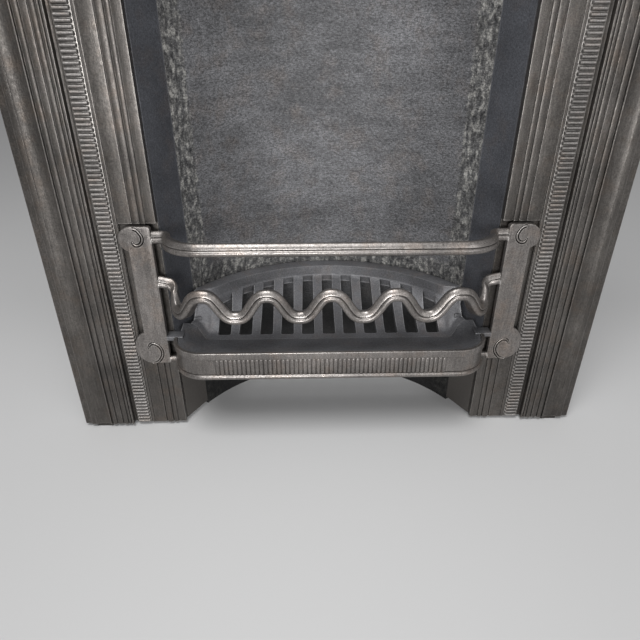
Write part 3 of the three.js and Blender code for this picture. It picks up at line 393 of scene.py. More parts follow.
def cast_iron(name, colour, worn, roughness, grain=1.0, hollow_shade_strength=0.75, wear=0.7, metallic=0.8,
              streaks=(1, 1, 1), reach=0.007, plaster=False, foot=None):
    """Blackened iron: sand grain and brush marks, blotches, painted shade in the hollows and edges rubbed
    bright.

    Worn is the colour of rubbed edges, reach is how far the painted shade in hollows spreads in metres,
    plaster adds old fire cement and painted shade low on the fireback, and foot is a warmer colour near the
    floor.
    """
    material = bpy.data.materials.new(name)
    material.use_nodes = True
    tree = material.node_tree
    shader = tree.nodes["Principled BSDF"]
    place = tree.nodes.new("ShaderNodeTexCoord").outputs["Object"]

    def noise_at(scale, detail, rough=0.55, stretch=(1, 1, 1)):
        mapping = node(tree, "ShaderNodeMapping", Scale=stretch)
        tree.links.new(place, mapping.inputs["Vector"])
        made = node(tree, "ShaderNodeTexNoise", Scale=scale, Detail=detail, Roughness=rough)
        tree.links.new(mapping.outputs["Vector"], made.inputs["Vector"])
        return made.outputs["Fac"]

    def occlusion(distance, inside):
        made = node(tree, "ShaderNodeAmbientOcclusion", samples=6, inside=inside, Distance=distance)
        return made.outputs["AO"]

    sand = noise_at(650, 3, 0.7)
    pits = noise_at(240, 3, 0.6)
    brushed = noise_at(420, 3, 0.6, streaks)
    tone = ramp(tree, noise_at(13, 5), [(0.3, 0.7), (0.7, 1.25)])
    base = mixed(tree, 1.0, colour, tone, "MULTIPLY")
    rust = ramp(tree, noise_at(34, 4, 0.6), [(0.5, 0.0), (0.75, 0.55)])
    tint = tuple(c * w for c, w in zip(colour, RUST_TINT))
    base = mixed(tree, rust, base, tint)
    base = mixed(tree, 1.0, base, ramp(tree, sand, [(0.3, 0.62), (0.7, 1.38)]), "MULTIPLY")
    base = mixed(tree, 1.0, base, ramp(tree, brushed, [(0.3, 0.8), (0.7, 1.2)]), "MULTIPLY")
    edge = ramp(tree, occlusion(0.0016, True), [(0.45, wear), (0.9, 0.0)])
    edge = mixed(tree, 1.0, edge, ramp(tree, pits, [(0.35, 0.35), (0.6, 1.0)]), "MULTIPLY")
    base = mixed(tree, edge, base, worn)
    # Painted shade: hollows, recesses and the gaps between ribs are darkened by occlusion, standing in for
    # the shade that falls there.
    painted_hollow_shade = ramp(tree, occlusion(reach, False), [(0.25, 1 - hollow_shade_strength), (0.85, 1.0)])
    base = mixed(tree, 1.0, base, painted_hollow_shade, "MULTIPLY")
    height = mixed(tree, 0.45, mixed(tree, 0.4, sand, brushed), pits)
    if plaster:
        lumps = noise_at(150, 4, 0.7, (1, 1, 0.6))
        strokes = noise_at(60, 4, 0.6, (0.3, 0.3, 1.6))
        split = tree.nodes.new("ShaderNodeSeparateXYZ")
        tree.links.new(place, split.inputs[0])
        ragged = mixed(tree, 0.5, lumps, pits)

        def band(source, low, high, ragged_by):
            """1 between two coordinates, with ends that wander by the lumps."""
            shifted = node(tree, "ShaderNodeMath", operation="MULTIPLY_ADD")
            tree.links.new(ragged, shifted.inputs[0])
            shifted.inputs[1].default_value = ragged_by
            tree.links.new(source, shifted.inputs[2])
            ranged = node(tree, "ShaderNodeMapRange")
            tree.links.new(shifted.outputs[0], ranged.inputs["Value"])
            ranged.inputs["From Min"].default_value = low
            ranged.inputs["From Max"].default_value = high
            return ranged.outputs["Result"]

        side = node(tree, "ShaderNodeMath", operation="ABSOLUTE")
        tree.links.new(split.outputs["X"], side.inputs[0])
        edges = band(side.outputs[0], JOINT_X[0], JOINT_X[1], 0.012)
        above = band(split.outputs["Z"], JOINT_TOP_Z[1], JOINT_TOP_Z[0], -0.02)
        below = band(split.outputs["Z"], JOINT_FOOT_Z[0], JOINT_FOOT_Z[1], 0.0)
        over_ledge = mixed(tree, 1.0, above, below, "MULTIPLY")
        axis = (0, -FACE_Y - BACK_CENTRE_Y * MM, 0)
        from_axis = node(tree, "ShaderNodeMapping", Location=axis, Scale=(1, 1, 0))
        tree.links.new(place, from_axis.inputs["Vector"])
        radius = node(tree, "ShaderNodeVectorMath", operation="LENGTH")
        tree.links.new(from_axis.outputs["Vector"], radius.inputs[0])
        fire_side = band(radius.outputs["Value"], (BACK_RADIUS + 4) * MM, (BACK_RADIUS + 2) * MM, 0.0)
        cement = mixed(tree, 1.0, mixed(tree, 1.0, edges, over_ledge, "LIGHTEN"), fire_side, "MULTIPLY")
        cement_colour = ramp(tree, lumps, CEMENT)
        cement_share = mixed(tree, 1.0, cement, (0.8, 0.8, 0.8), "MULTIPLY")
        base = mixed(tree, cement_share, base, cement_colour)
        base = mixed(tree, 1.0, base, ramp(tree, strokes, [(0.3, 0.8), (0.7, 1.2)]), "MULTIPLY")
        grit = noise_at(430, 3, 0.8, (0.55, 0.55, 1.3))
        base = mixed(tree, 1.0, base, ramp(tree, grit, [(0.36, 0.45), (0.62, 1.5)]), "MULTIPLY")
        # Painted shade: the fireback's inner face goes nearly black below about 0.13 m, under the grate.
        painted_under_grate_shade = ramp(tree, split.outputs["Z"], [(0.13, 0.12), (0.2, 1.0)])
        base = mixed(tree, fire_side, base, painted_under_grate_shade, "MULTIPLY")
        height = mixed(tree, 0.6, height, mixed(tree, 0.6, mixed(tree, 0.5, lumps, strokes), grit))
    if foot:
        low = tree.nodes.new("ShaderNodeSeparateXYZ")
        tree.links.new(place, low.inputs[0])
        base = mixed(tree, ramp(tree, low.outputs["Z"], [(0.11, 1.0), (0.15, 0.0)]), base, foot)
    tree.links.new(base, shader.inputs["Base Color"])
    rough = mixed(tree, 1.0, ramp(tree, pits, [(0.3, roughness - 0.08), (0.7, roughness + 0.1)]),
                  ramp(tree, edge, [(0.0, 1.0), (1.0, 0.72)]), "MULTIPLY")
    tree.links.new(rough, shader.inputs["Roughness"])
    shader.inputs["Metallic"].default_value = metallic
    bump = node(tree, "ShaderNodeBump", Strength=0.55, Distance=0.0007 * grain)
    tree.links.new(height, bump.inputs["Height"])
    tree.links.new(bump.outputs["Normal"], shader.inputs["Normal"])
    return material


# Where old fire cement shows on the fireback, in metres: from |X| at its sides, and between a foot and a
# soft upper edge in Z over the ledge. Its colours are by how high its lumps stand.
JOINT_X = (0.186, 0.189)
JOINT_FOOT_Z = (0.2, 0.204)
JOINT_TOP_Z = (0.222, 0.23)
CEMENT = [(0.36, (0.02, 0.02, 0.021)), (0.5, (0.1, 0.099, 0.097)), (0.64, (0.34, 0.332, 0.31))]
UPWARD = (1, 1, 0.12)
# Each material below paints shade into its hollows by occlusion; on the ribs this painted shade is almost
# black in the valleys.
FRAME_IRON = cast_iron("frame_iron", (0.105, 0.097, 0.09), (0.5, 0.475, 0.45), 0.42, hollow_shade_strength=0.55, reach=0.012,
                       streaks=UPWARD)
RIB_IRON = cast_iron("rib_iron", (0.25, 0.237, 0.227), (0.6, 0.58, 0.56), 0.42, grain=0.7, hollow_shade_strength=0.98,
                     wear=0.12, reach=0.006)
BAR_IRON = cast_iron("bar_iron", (0.205, 0.19, 0.18), (0.72, 0.69, 0.66), 0.34, grain=0.9, hollow_shade_strength=0.6,
                     streaks=UPWARD)
GRATE_IRON = cast_iron("grate_iron", (0.12, 0.12, 0.127), (0.4, 0.4, 0.41), 0.48, grain=1.3, hollow_shade_strength=0.85,
                       metallic=0.35)
PAN_IRON = cast_iron("pan_iron", (0.115, 0.116, 0.123), (0.45, 0.45, 0.46), 0.48, grain=1.3, metallic=0.35)
DARK_IRON = cast_iron("dark_iron", (0.075, 0.078, 0.088), (0.2, 0.2, 0.21), 0.48, metallic=0.4,
                      foot=(0.1, 0.092, 0.085))
BACK_IRON = cast_iron("fireback_iron", (0.105, 0.105, 0.11), (0.3, 0.3, 0.3), 0.55, grain=6, metallic=0.2,
                      plaster=True)
BOLT_STEEL = cast_iron("bolt_steel", (0.25, 0.25, 0.26), (0.6, 0.6, 0.6), 0.35, grain=0.4)


# ------------------------------------------------------------------ moulded frame
def member_points(at, width, relief, crown):
    """One member of the moulding: flat, or hollowed by a negative crown, or swelling by a positive one."""
    if not crown:
        return [(at, relief), (at + width, relief)]
    if crown < 0:
        steps = 12
        shares = [i / steps for i in range(steps + 1)]
        return [(at + width * i / steps, relief + crown * 4 * t * (1 - t)) for i, t in enumerate(shares)]
    return arc(at + width / 2, relief, width / 2, crown, 180, 0, 10)


def moulded_face():
    """Points of distance from the outer edge and relief, over the whole width of a jamb or the head."""
    members = [*OUTER_MEMBERS, RIB_MEMBER, *INNER_MEMBERS]
    rest = FACE_WIDTH - sum(m[0] for m in members)
    points = []
    at = 0
    for width, relief, crown in [*members, (rest, LAST_RELIEF, 0)]:
        points += member_points(at, width, relief, crown)
        at += width
    return points


def frame_section():
    """The section's outline as (distance from the outer edge, depth)."""
    front = [(a, -relief) for a, relief in moulded_face()]
    behind = [
        (FACE_WIDTH, RETURN_DEPTH),
        (FACE_WIDTH - RETURN_THICKNESS, RETURN_DEPTH),
        (FACE_WIDTH - RETURN_THICKNESS, WEB_BACK),
        (LEG, WEB_BACK),
        (LEG, WALL_PLANE),
        (0, WALL_PLANE),
    ]
    return rounded(front + behind, 0.5)


def boss(x, z):
    """A square seat for a bolt behind the face."""
    return box("boss", x - BOSS_HALF, x + BOSS_HALF, *BOSS_DEPTHS, z - BOSS_HALF, z + BOSS_HALF)


def make_jamb(name):
    """A moulded jamb with the recess and slots for the upright, a foot, a wall lug and seats for bolts."""
    section = frame_section()
    bottom = [(HALF_WIDTH - a, depth, JAMB_BOTTOM) for a, depth in section]
    top = [(HALF_WIDTH - a, depth, FRAME_TOP - a - MITRE_SHIFT) for a, depth in section]
    body = loft(name, [bottom, top])
    hook_x = UPRIGHT_OUTER - HOOK_INSET
    pocket_outer = UPRIGHT_OUTER + POCKET_PAST
    plate_top = POCKET_FLOOR + POCKET_PLATE
    cheek_bolts = [(OPENING_HALF + 25, z) for z in (60, 420, OPENING_TOP - 44)]
    bosses = [*cheek_bolts, (HALF_WIDTH - 31, FRAME_TOP - 80)]
    added = [
        box("plate", OPENING_HALF + POCKET_MOUTH, pocket_outer + POCKET_WALL, 2, plate_top,
            POCKET_BOTTOM - POCKET_WALL, POCKET_TOP + POCKET_WALL),
        box("plate", OPENING_HALF + RETURN_THICKNESS - 1, OPENING_HALF + POCKET_MOUTH + 1, MOUTH_FLOOR,
            MOUTH_FLOOR + POCKET_PLATE, POCKET_BOTTOM - POCKET_WALL, POCKET_TOP + POCKET_WALL),
        eased(box("foot", HALF_WIDTH - 41, HALF_WIDTH - 17, -2, 18, 0, 7), 1),
        eased(box("lug", HALF_WIDTH - 1, HALF_WIDTH + 20, 18, WALL_PLANE, FRAME_TOP - 74, FRAME_TOP - 46), 1),
        *[boss(x, z) for x, z in bosses],
    ]
    combine(body, added, "UNION")
    cutters = [
        box("recess", OPENING_HALF - 1, pocket_outer, -WALL_PLANE, POCKET_FLOOR, POCKET_BOTTOM, POCKET_TOP),
        box("mouth", OPENING_HALF - 1, OPENING_HALF + POCKET_MOUTH, -WALL_PLANE, MOUTH_FLOOR,
            POCKET_BOTTOM, POCKET_TOP),
        *[box("slot", hook_x - 5.5, hook_x + 5.5, POCKET_FLOOR - 1, plate_top + 1, z - RUNNING_GAP, z + 18.3)
          for z in HOOK_HEIGHTS],
        prism("hole", arc(HALF_WIDTH + 10, FRAME_TOP - 60, HOLE_RADIUS, HOLE_RADIUS, 0, 345, 23), "y", 0,
              WALL_PLANE + 1),
    ]
    return combine(body, cutters, "DIFFERENCE")


def make_head():
    """The same moulding across the top, mitred to the jambs."""
    section = frame_section()
    rings = []
    for side in (-1, 1):
        rings.append([(side * (HALF_WIDTH - a - MITRE_SHIFT), depth, FRAME_TOP - a) for a, depth in section])
    body = loft("head_casting", rings)
    seats = [(HALF_WIDTH - 81, FRAME_TOP - 40), (150, OPENING_TOP + 31)]
    added = [boss(side * x, z) for side in (-1, 1) for x, z in seats]
    return combine(body, added, "UNION")


def rib_field(name, count, place):
    """A strip of rounded ribs. Place puts (along the strip, across it, height) into the frame."""
    across_steps, per_rib = 10, 10
    width = RIB_MEMBER[0] - 0.6
    lines = []
    for i in range(count * per_rib + 1):
        along = i * RIB_PITCH / per_rib
        swell = max(0.0, math.sin(math.pi * (i % per_rib) / per_rib)) ** 0.75
        line = []
        for j in range(across_steps + 1):
            t = j / across_steps
            end = min(1, (min(t, 1 - t) * width / 1.8)) ** 0.7
            height = RIB_VALLEY + (RIB_CREST - RIB_VALLEY) * swell * end
            line.append(place(along, 0.3 + t * width, height))
        line += [place(along, 0.3 + width, -1.2), place(along, 0.3, -1.2)]
        lines.append(line)
    return loft(name, lines)


def make_jamb_ribs(name):
    count = int((FRAME_TOP - RIB_END - JAMB_BOTTOM) / RIB_PITCH)
    return rib_field(name, count, lambda along, across, height: (
        HALF_WIDTH - RIB_START - across, -height, JAMB_BOTTOM + along))


def make_head_ribs():
    half = int((HALF_WIDTH - RIB_END) / RIB_PITCH)
    return rib_field("head_ribs", 2 * half, lambda along, across, height: (
        along - half * RIB_PITCH, -height, FRAME_TOP - RIB_START - across))


def make_shelf():
    """The shelf with an ogee edge at the front and both ends."""
    levels = [
        (0, 12), (1.2, 9.6), (2.4, 6.6), (3.6, 3.6), (4.8, 1.4), (6, 0.3), (7.4, 0), (9, 0),
        (10.4, 0.4), (11.6, 1.3), (12.4, 2.4), (12.8, 3.2), (13.2, 3.8), (13.7, 4.2), (14, 4.8),
    ]
    rings = []
    half, front = shelf_high.x, shelf_low.y
    for z, inset in levels:
        x, y = half - inset, front + inset
        level = shelf_low.z + z
        rings.append([(-x, y, level), (x, y, level), (x, WALL_PLANE, level), (-x, WALL_PLANE, level)])
    return loft("mantel_shelf_casting", rings)


def make_corbel(name):
    """A scrolled bracket under the shelf, drawn from the side."""
    back, depth = corbel_high.y, corbel_low.y
    top, bottom = corbel_high.z, corbel_low.z

    def bezier(p0, p1, p2, p3):
        steps = 16
        made = []
        for i in range(1, steps + 1):
            t = i / steps
            u = 1 - t
            made.append(tuple(u**3 * a + 3 * u * u * t * b + 3 * u * t * t * c + t**3 * d
                              for a, b, c, d in zip(p0, p1, p2, p3)))
        return made

    waist = (back - 20, top - 66)
    outline = [(back, top), (depth, top), (depth, top - 10)]
    outline += bezier((depth, top - 10), (depth + 4, top - 46), (back - 22, top - 34), waist)
    outline += bezier(waist, (back - 34, bottom + 30), (back - 30, bottom), (back - 12, bottom))
    outline.append((back, bottom))
    body = prism(name, outline, "x", corbel_low.x, corbel_high.x)
    return eased(body, 1.6, 3)


# ------------------------------------------------------------------ chamber
def ring_part(name, inner, outer, start, end, z0, z1, steps):
    """Part of a ring round the fireback's axis, between two angles in degrees."""
    outside = arc(0, BACK_CENTRE_Y, outer, outer, start, end, steps)
    inside = arc(0, BACK_CENTRE_Y, inner, inner, end, start, steps)
    return prism(name, outside + inside, "z", z0, z1)


def make_fireback():
    """The curved back: a shell whose inner face is uneven, as rough plaster or worn iron is."""
    start = math.degrees(math.asin((CHEEK_BACK + RUNNING_GAP - BACK_CENTRE_Y) / BACK_RADIUS))
    columns, rows = 110, 110
    low, high = back_low.z, back_high.z
    outer = BACK_RADIUS + BACK_THICKNESS

    def inner_radius(angle, z):
        p = Vector((angle * 4.2, z * 0.012, 3.0))
        waves = noise.noise(p) * 0.9 + noise.noise(p * 2.7) * 0.45
        strokes = noise.noise(Vector((angle * 9, z * 0.11 + math.sin(angle * 3) * 2, 8.0)))
        edge = smooth((z - low) / 30) * smooth((high - z) / 30)
        first = math.radians(start)
        edge *= smooth((angle - first) / 0.12) * smooth((math.pi - first - angle) / 0.12)
        return BACK_RADIUS + (0.9 + min(0.8, max(-0.8, waves + strokes * 0.4))) * edge

    rings = []
    for i in range(columns + 1):
        angle = math.radians(start + (180 - 2 * start) * i / columns)
        direction = Vector((math.cos(angle), math.sin(angle)))
        ring = []
        for j in range(rows + 1):
            z = low + (high - low) * j / rows
            r = inner_radius(angle, z)
            ring.append((direction.x * r, BACK_CENTRE_Y + direction.y * r, z))
        ring += [(direction.x * outer, BACK_CENTRE_Y + direction.y * outer, z) for z in (high, low)]
        rings.append(ring)
    body = loft("fireback_casting", rings)
    seat_top = grate_high.z - 8 - RUNNING_GAP
    added = []
    for side in (-1, 1):
        middle = 90 + side * 21
        added.append(ring_part("seat", BACK_RADIUS - 15, BACK_RADIUS + 2, middle - 3, middle + 3,
                               seat_top - 8, seat_top, 4))
        for z in (236, back_high.z - 50):
            x0, x1 = sorted((side * (CHEEK_BACK_X + 3), side * (CHEEK_BACK_X + 32)))
            front = CHEEK_BACK + RUNNING_GAP
            added.append(box("lug", x0, x1, front, front + 6, z - 15, z + 15))
    return combine(body, added, "UNION")


# ------------------------------------------------------------------ fire front
def corner_arc(rx, ry):
    """About the length of a quarter of an ellipse."""
    return math.pi / 2 * math.sqrt((rx * rx + ry * ry) / 2)


RIM = (FRONT_HALF, FRONT_CORNER)
BOWED = (BAR_HALF, BAR_CORNER)


def bar_plan(inset, stub=True, straight_step=40, corner_steps=24, outside=RIM):
    """Half the plan of a bar, from the middle out: (x, y, heading, distance along).

    The inset is from the outside, and a stub turns out into the upright.
    """
    straight = outside[0] - outside[1]
    rx, ry = outside[1] - inset, FRONT_CORNER - inset
    front = -FRONT_REACH + inset
    steps = max(1, round(straight / straight_step))
    made = [(straight * i / steps, front, 0.0, straight * i / steps) for i in range(steps)]
    for i in range(corner_steps + 1):
        a = math.pi / 2 * i / corner_steps
        heading = math.atan2(ry * math.sin(a), rx * math.cos(a))
        made.append((straight + rx * math.sin(a), front + ry * (1 - math.cos(a)), heading,
                     straight + corner_arc(rx, ry) * i / corner_steps))
    if not stub:
        return made
    x, y, _, s = made[-1]
    for i in range(1, 9):
        a = math.pi / 2 * i / 8
        made.append((x + STUB_RADIUS * (1 - math.cos(a)), y + STUB_RADIUS * math.sin(a), math.pi / 2 - a,
                     s + STUB_RADIUS * a))
    x, y, _, s = made[-1]
    for end in (UPRIGHT_INNER - RUNNING_GAP, UPRIGHT_INNER + 1):
        made.append((end, y, 0.0, s + end - x))
    return made


def sweep(name, section_at, half, height=lambda s: 0.0, slope=lambda s: 0.0):
    """A section of (outwards, upwards) carried along a half plan and its mirror image."""
    left = [(-x, y, -heading, -s) for x, y, heading, s in reversed(half[1:])]
    rings = []
    for x, y, heading, s in left + half:
        tangent = Vector((math.cos(heading), math.sin(heading), slope(s))).normalized()
        out = Vector((math.sin(heading), -math.cos(heading), 0))
        up = out.cross(tangent)
        middle = Vector((x, y, height(s)))
        rings.append([tuple(middle + out * a + up * b) for a, b in section_at(s)])
    return loft(name, rings)


def reeded_section(s):
    """A reed at the foot of the front, a groove over it, and a slanting face up to a soft ridge."""
    corner = corner_arc(BAR_CORNER - BAR_END_DEPTH / 2, FRONT_CORNER - BAR_END_DEPTH / 2)
    turned = (abs(s) - (BAR_HALF - BAR_CORNER)) / corner
    depth = BAR_DEPTH + (BAR_END_DEPTH - BAR_DEPTH) * min(max(1.7 * turned - 1.0, 0), 1)
    n, h = BAR_END_DEPTH / 2, (top_bar_high.z - top_bar_low.z) / 2
    back = h - (depth - BAR_SLANT) * math.tan(BAR_DRAFT)
    reed = 4.45
    lower = arc(n - reed, -h + reed, reed, reed, -95, 66, 13)
    face = [(n - 2.3, 0.95), (n - 1.6, 1.2), (n - 1.25, 1.75), (n - 1.7, 3.2), (n - 2.7, 4.9),
            (n - 4.0, 6.6), (n - 5.2, 7.75), (n - 5.9, h - 0.12), (n - BAR_SLANT, h)]
    ridge = [(n - BAR_SLANT - 0.8, h - 0.12), (n - depth + 0.6, back + 0.1), (n - depth, back - 0.6)]
    return [(n - depth, -h + 0.8), (n - depth + 0.8, -h), *lower, (n - 2.6, 0.6), *face, *ridge]


def make_top_bar():
    middle = (top_bar_low.z + top_bar_high.z) / 2
    plan = bar_plan(BAR_END_DEPTH / 2, outside=BOWED)
    return sweep("top_bar_casting", reeded_section, plan, lambda s: middle)


def make_wave_bar():
    """Three waves to each side. The last half wave is a little shorter, and ends level at the upright."""
    plan = bar_plan(BAR_END_DEPTH / 2, straight_step=2.5, corner_steps=36, outside=BOWED)
    length = plan[-2][3]
    middle = (wave_low.z + wave_high.z) / 2
    last = 2.5 * WAVE_LENGTH

    def rate(s):
        return math.pi / (length - last) if abs(s) > last else 2 * math.pi / WAVE_LENGTH

    def phase(s):
        turn = 2 * math.pi * min(abs(s), last) / WAVE_LENGTH + max(0, abs(s) - last) * rate(s)
        return math.copysign(turn, s)

    def height(s):
        return middle + WAVE_HEIGHT * math.cos(phase(s)) - WAVE_ROUND * math.cos(3 * phase(s))

    def slope(s):
        return rate(s) * (3 * WAVE_ROUND * math.sin(3 * phase(s)) - WAVE_HEIGHT * math.sin(phase(s)))

    return sweep("serpentine_bar_casting", reeded_section, plan, height, slope)


def make_rail():
    radius = (rail_high.z - rail_low.z) / 2
    section = arc(0, 0, radius, radius, 0, 345, 23)
    middle = (rail_high.z + rail_low.z) / 2
    return sweep("bottom_rail_casting", lambda s: section, bar_plan(4.3 - 1.5), lambda s: middle)


def make_apron():
    """A band round the front with a plain rim, and upright ribs along its straight part."""
    half = 2.5
    face = half - 1.5
    bottom, band, top = apron_low.z, 157, apron_high.z
    outline = [(-half, bottom), (face, bottom), (face, band - 0.4), (half, band + 0.4),
               (half, top), (-half, top)]
    section = rounded(outline, 0.9, 3)
    plate = sweep("ribbed_apron_casting", lambda s: section, bar_plan(half, stub=False))
    plate_face = -FRONT_REACH + 1.5
    pitch, count = 5.95, 26
    per_rib = 10
    outline = []
    for i in range((2 * count + 1) * per_rib + 1):
        x = (i / per_rib - count - 0.5) * pitch
        swell = abs(math.sin(math.pi * i / per_rib)) ** 0.7
        outline.append((x, plate_face - 0.1 - 1.7 * swell))
    edge = (count + 0.5) * pitch
    outline += [(edge, plate_face + 1), (-edge, plate_face + 1)]
    rings = []
    for z, drop in ((bottom + 0.2, 0.7), (bottom + 1.2, 0), (band - 1, 0), (band + 0.1, 0.9)):
        rings.append([(x, min(plate_face + 1, y + drop), z) for x, y in outline])
    ribs = loft("ribs", rings)
    return combine(plate, [ribs], "UNION")


def make_upright(name):
    """A flat bar with a scrolled boss at each end and two hooks behind."""
    low_x, high_x = UPRIGHT_OUTER - 6.5, UPRIGHT_OUTER - 5
    bottom, top = upright_low.z, upright_high.z
    outline = [(UPRIGHT_INNER, bottom)]
    turn = math.degrees(math.acos(6.5 / 22))
    outline += arc(low_x, bottom + 26, 22, 26, -90, turn, 30)
    turn = math.degrees(math.acos(5 / 16))
    outline += arc(high_x, top - 16.7, 16, 16.7, -turn, 90, 26)
    outline += arc(UPRIGHT_INNER + 4, top - 4, 4, 4, 90, 180, 6)
    plate = eased(prism(name, outline, "y", UPRIGHT_FRONT, UPRIGHT_BACK), 1.1, 3)
    scrolls = [(UPRIGHT_OUTER - 11.5, top - 15.2, 8.4, 9.5, 80, 255),
               (UPRIGHT_OUTER - 9, bottom + 17.6, 12.4, 15, -75, -250)]
    grooves = [spiral(*scroll, 2.6, -0.1) for scroll in scrolls]
    beads = [spiral(*scroll, 1.25, 1.4) for scroll in scrolls]
    combine(plate, grooves, "DIFFERENCE")
    combine(plate, beads, "UNION")
    hook_x = UPRIGHT_OUTER - HOOK_INSET
    tongue = POCKET_FLOOR + POCKET_PLATE + RUNNING_GAP
    hooks = []
    for z in HOOK_HEIGHTS:
        outline = [(UPRIGHT_BACK - 1, z), (tongue, z), (tongue, z - 9), (tongue + 3.6, z - 9),
                   (tongue + 3.6, z + 8), (UPRIGHT_BACK - 1, z + 8)]
        hooks.append(prism("hook", outline, "x", hook_x - 5, hook_x + 5))
    return combine(plate, hooks, "UNION")


def spiral(x, z, rx, rz, start, turn, radius, sunk):
    """A round rod that runs in from the edge of the lobe and winds round the boss.

    Start and turn are in degrees, and sunk is how far its middle is behind the upright's face.
    """
    steps, mouth, curled = 56, 0.22, 0.8
    rings = []
    for i in range(steps + 1):
        t = i / steps
        a = math.radians(start + turn * t)
        grow = 3.5 * max(0, mouth - t) / mouth
        share = 1 - 0.3 * max(0, (t - curled) / (1 - curled))
        centre = Vector((x + (rx + grow) * share * math.cos(a), UPRIGHT_FRONT + sunk,
                         z + (rz + grow) * share * math.sin(a)))
        out = Vector((math.cos(a), 0, math.sin(a)))
        size = radius * min(1, (1 - t) * 5 + 0.3)
        rings.append([tuple(centre + out * (size * math.cos(b)) + Vector((0, 1.1 * size * math.sin(b), 0)))
                      for b in (math.radians(d) for d in range(0, 360, 30))])
    return loft("spiral", rings)


# Where the pan meets the grate: Y of the straight part, its half length, and X and Y of the wing's corner.
MEETING = (3.4, 178, 200, 24)
WING_HEIGHT = 168
GRATE_CLEARANCE = 0.6
STRIP_DEPTH = 12.5


def meeting_height(straight_z, slant):
    """Height of the seam between pan and grate, which rises to the wings over its slanting part."""
    return straight_z + (WING_HEIGHT - straight_z) * smooth(slant)


def make_pan():
    """The dished ledge between the rim and the grate, with a wing at each end and an ear to each upright."""
    inset = 5 + RUNNING_GAP
    half = bar_plan(inset, stub=False, straight_step=12, corner_steps=24)
    straight = FRONT_HALF - FRONT_CORNER
    side_x = half[-1][0]
    rear, rear_half, wing_x, wing_rear = MEETING
    rim_z, rear_z, wing_z = apron_high.z - 1.5, 152.2, 169
    thickness, dish = 6, 3.5
    columns = []
    for x, y, heading, _ in half:
        turn = heading / (math.pi / 2)
        diagonal = min(max(turn / 0.625, 0), 1)
        along = min(max((turn - 0.625) / 0.375, 0), 1)
        if heading:
            rear_x = rear_half + (wing_x - rear_half) * diagonal + (side_x - wing_x) * along
        else:
            rear_x = rear_half * x / straight
        rear_y = rear + (wing_rear - rear) * diagonal
        height = meeting_height(rear_z, diagonal) + (wing_z - WING_HEIGHT) * along
        columns.append((x, y, rear_x, rear_y, height, dish * (1 - along)))
    left = [(-x, y, -rx, ry, rz, dip) for x, y, rx, ry, rz, dip in reversed(columns[1:])]
    steps = 18
    rings = []
    for x, y, rx, ry, rz, dip in left + columns:
        top = []
        for i in range(steps + 1):
            t = i / steps
            z = rim_z + (rz - rim_z) * t - dip * 4 * t * (1 - t)
            lip = 0.8 * max(0, 1 - t * 18) ** 2 + 0.4 * max(0, 1 - (1 - t) * 18) ** 2
            top.append((x + (rx - x) * t, y + (ry - y) * t, z - lip))
        under = []
        for i, (px, py, _) in reversed(list(enumerate(top))):
            t = i / steps
            under.append((px, py, rim_z + (rz - rim_z) * t - dip * 4 * t * (1 - t) - thickness))
        rings.append(top + under)
    body = loft("front_pan_casting", rings)
    ears = []
    for side in (-1, 1):
        x0, x1 = sorted((side * (side_x - 6), side * (UPRIGHT_INNER + 0.5)))
        ears.append(eased(box("ear", x0, x1, half[-1][1] + RUNNING_GAP, 3, 161.6, 167.6), 0.8))
    return combine(body, ears, "UNION")


# ------------------------------------------------------------------ grate
GRATE_RADIUS = BACK_RADIUS - 1.5
LEDGE_RADIUS = 215
SLOT_COUNT = 11
SLOT_PITCH = 31
SLOT_FRONT = 19
SLOT_BACK = 16.5
SLOT_INSET = 1.2


def grate_columns(count):
    """Pairs of points in front and behind, how far each is in the wings, and the height in front."""
    rear, rear_half, wing_x, wing_rear = MEETING
    front_half, back_half = 204, 195
    xs = [front_half * i / count for i in range(count + 1)]
    xs = sorted(set(xs + [rear_half, wing_x]))
    xs = [-x for x in reversed(xs[1:])] + xs
    columns = []
    for x in xs:
        past = min(max((abs(x) - rear_half) / (wing_x - rear_half), 0), 1)
        front = Vector((x, rear + (wing_rear - rear) * past + GRATE_CLEARANCE))
        back_x = x * back_half / front_half
        back = Vector((back_x, BACK_CENTRE_Y + math.sqrt(GRATE_RADIUS**2 - back_x**2)))
        wing = smooth((abs(x) / front_half - 0.8) / 0.2)
        columns.append((front, back, wing, meeting_height(152, past)))
    return columns


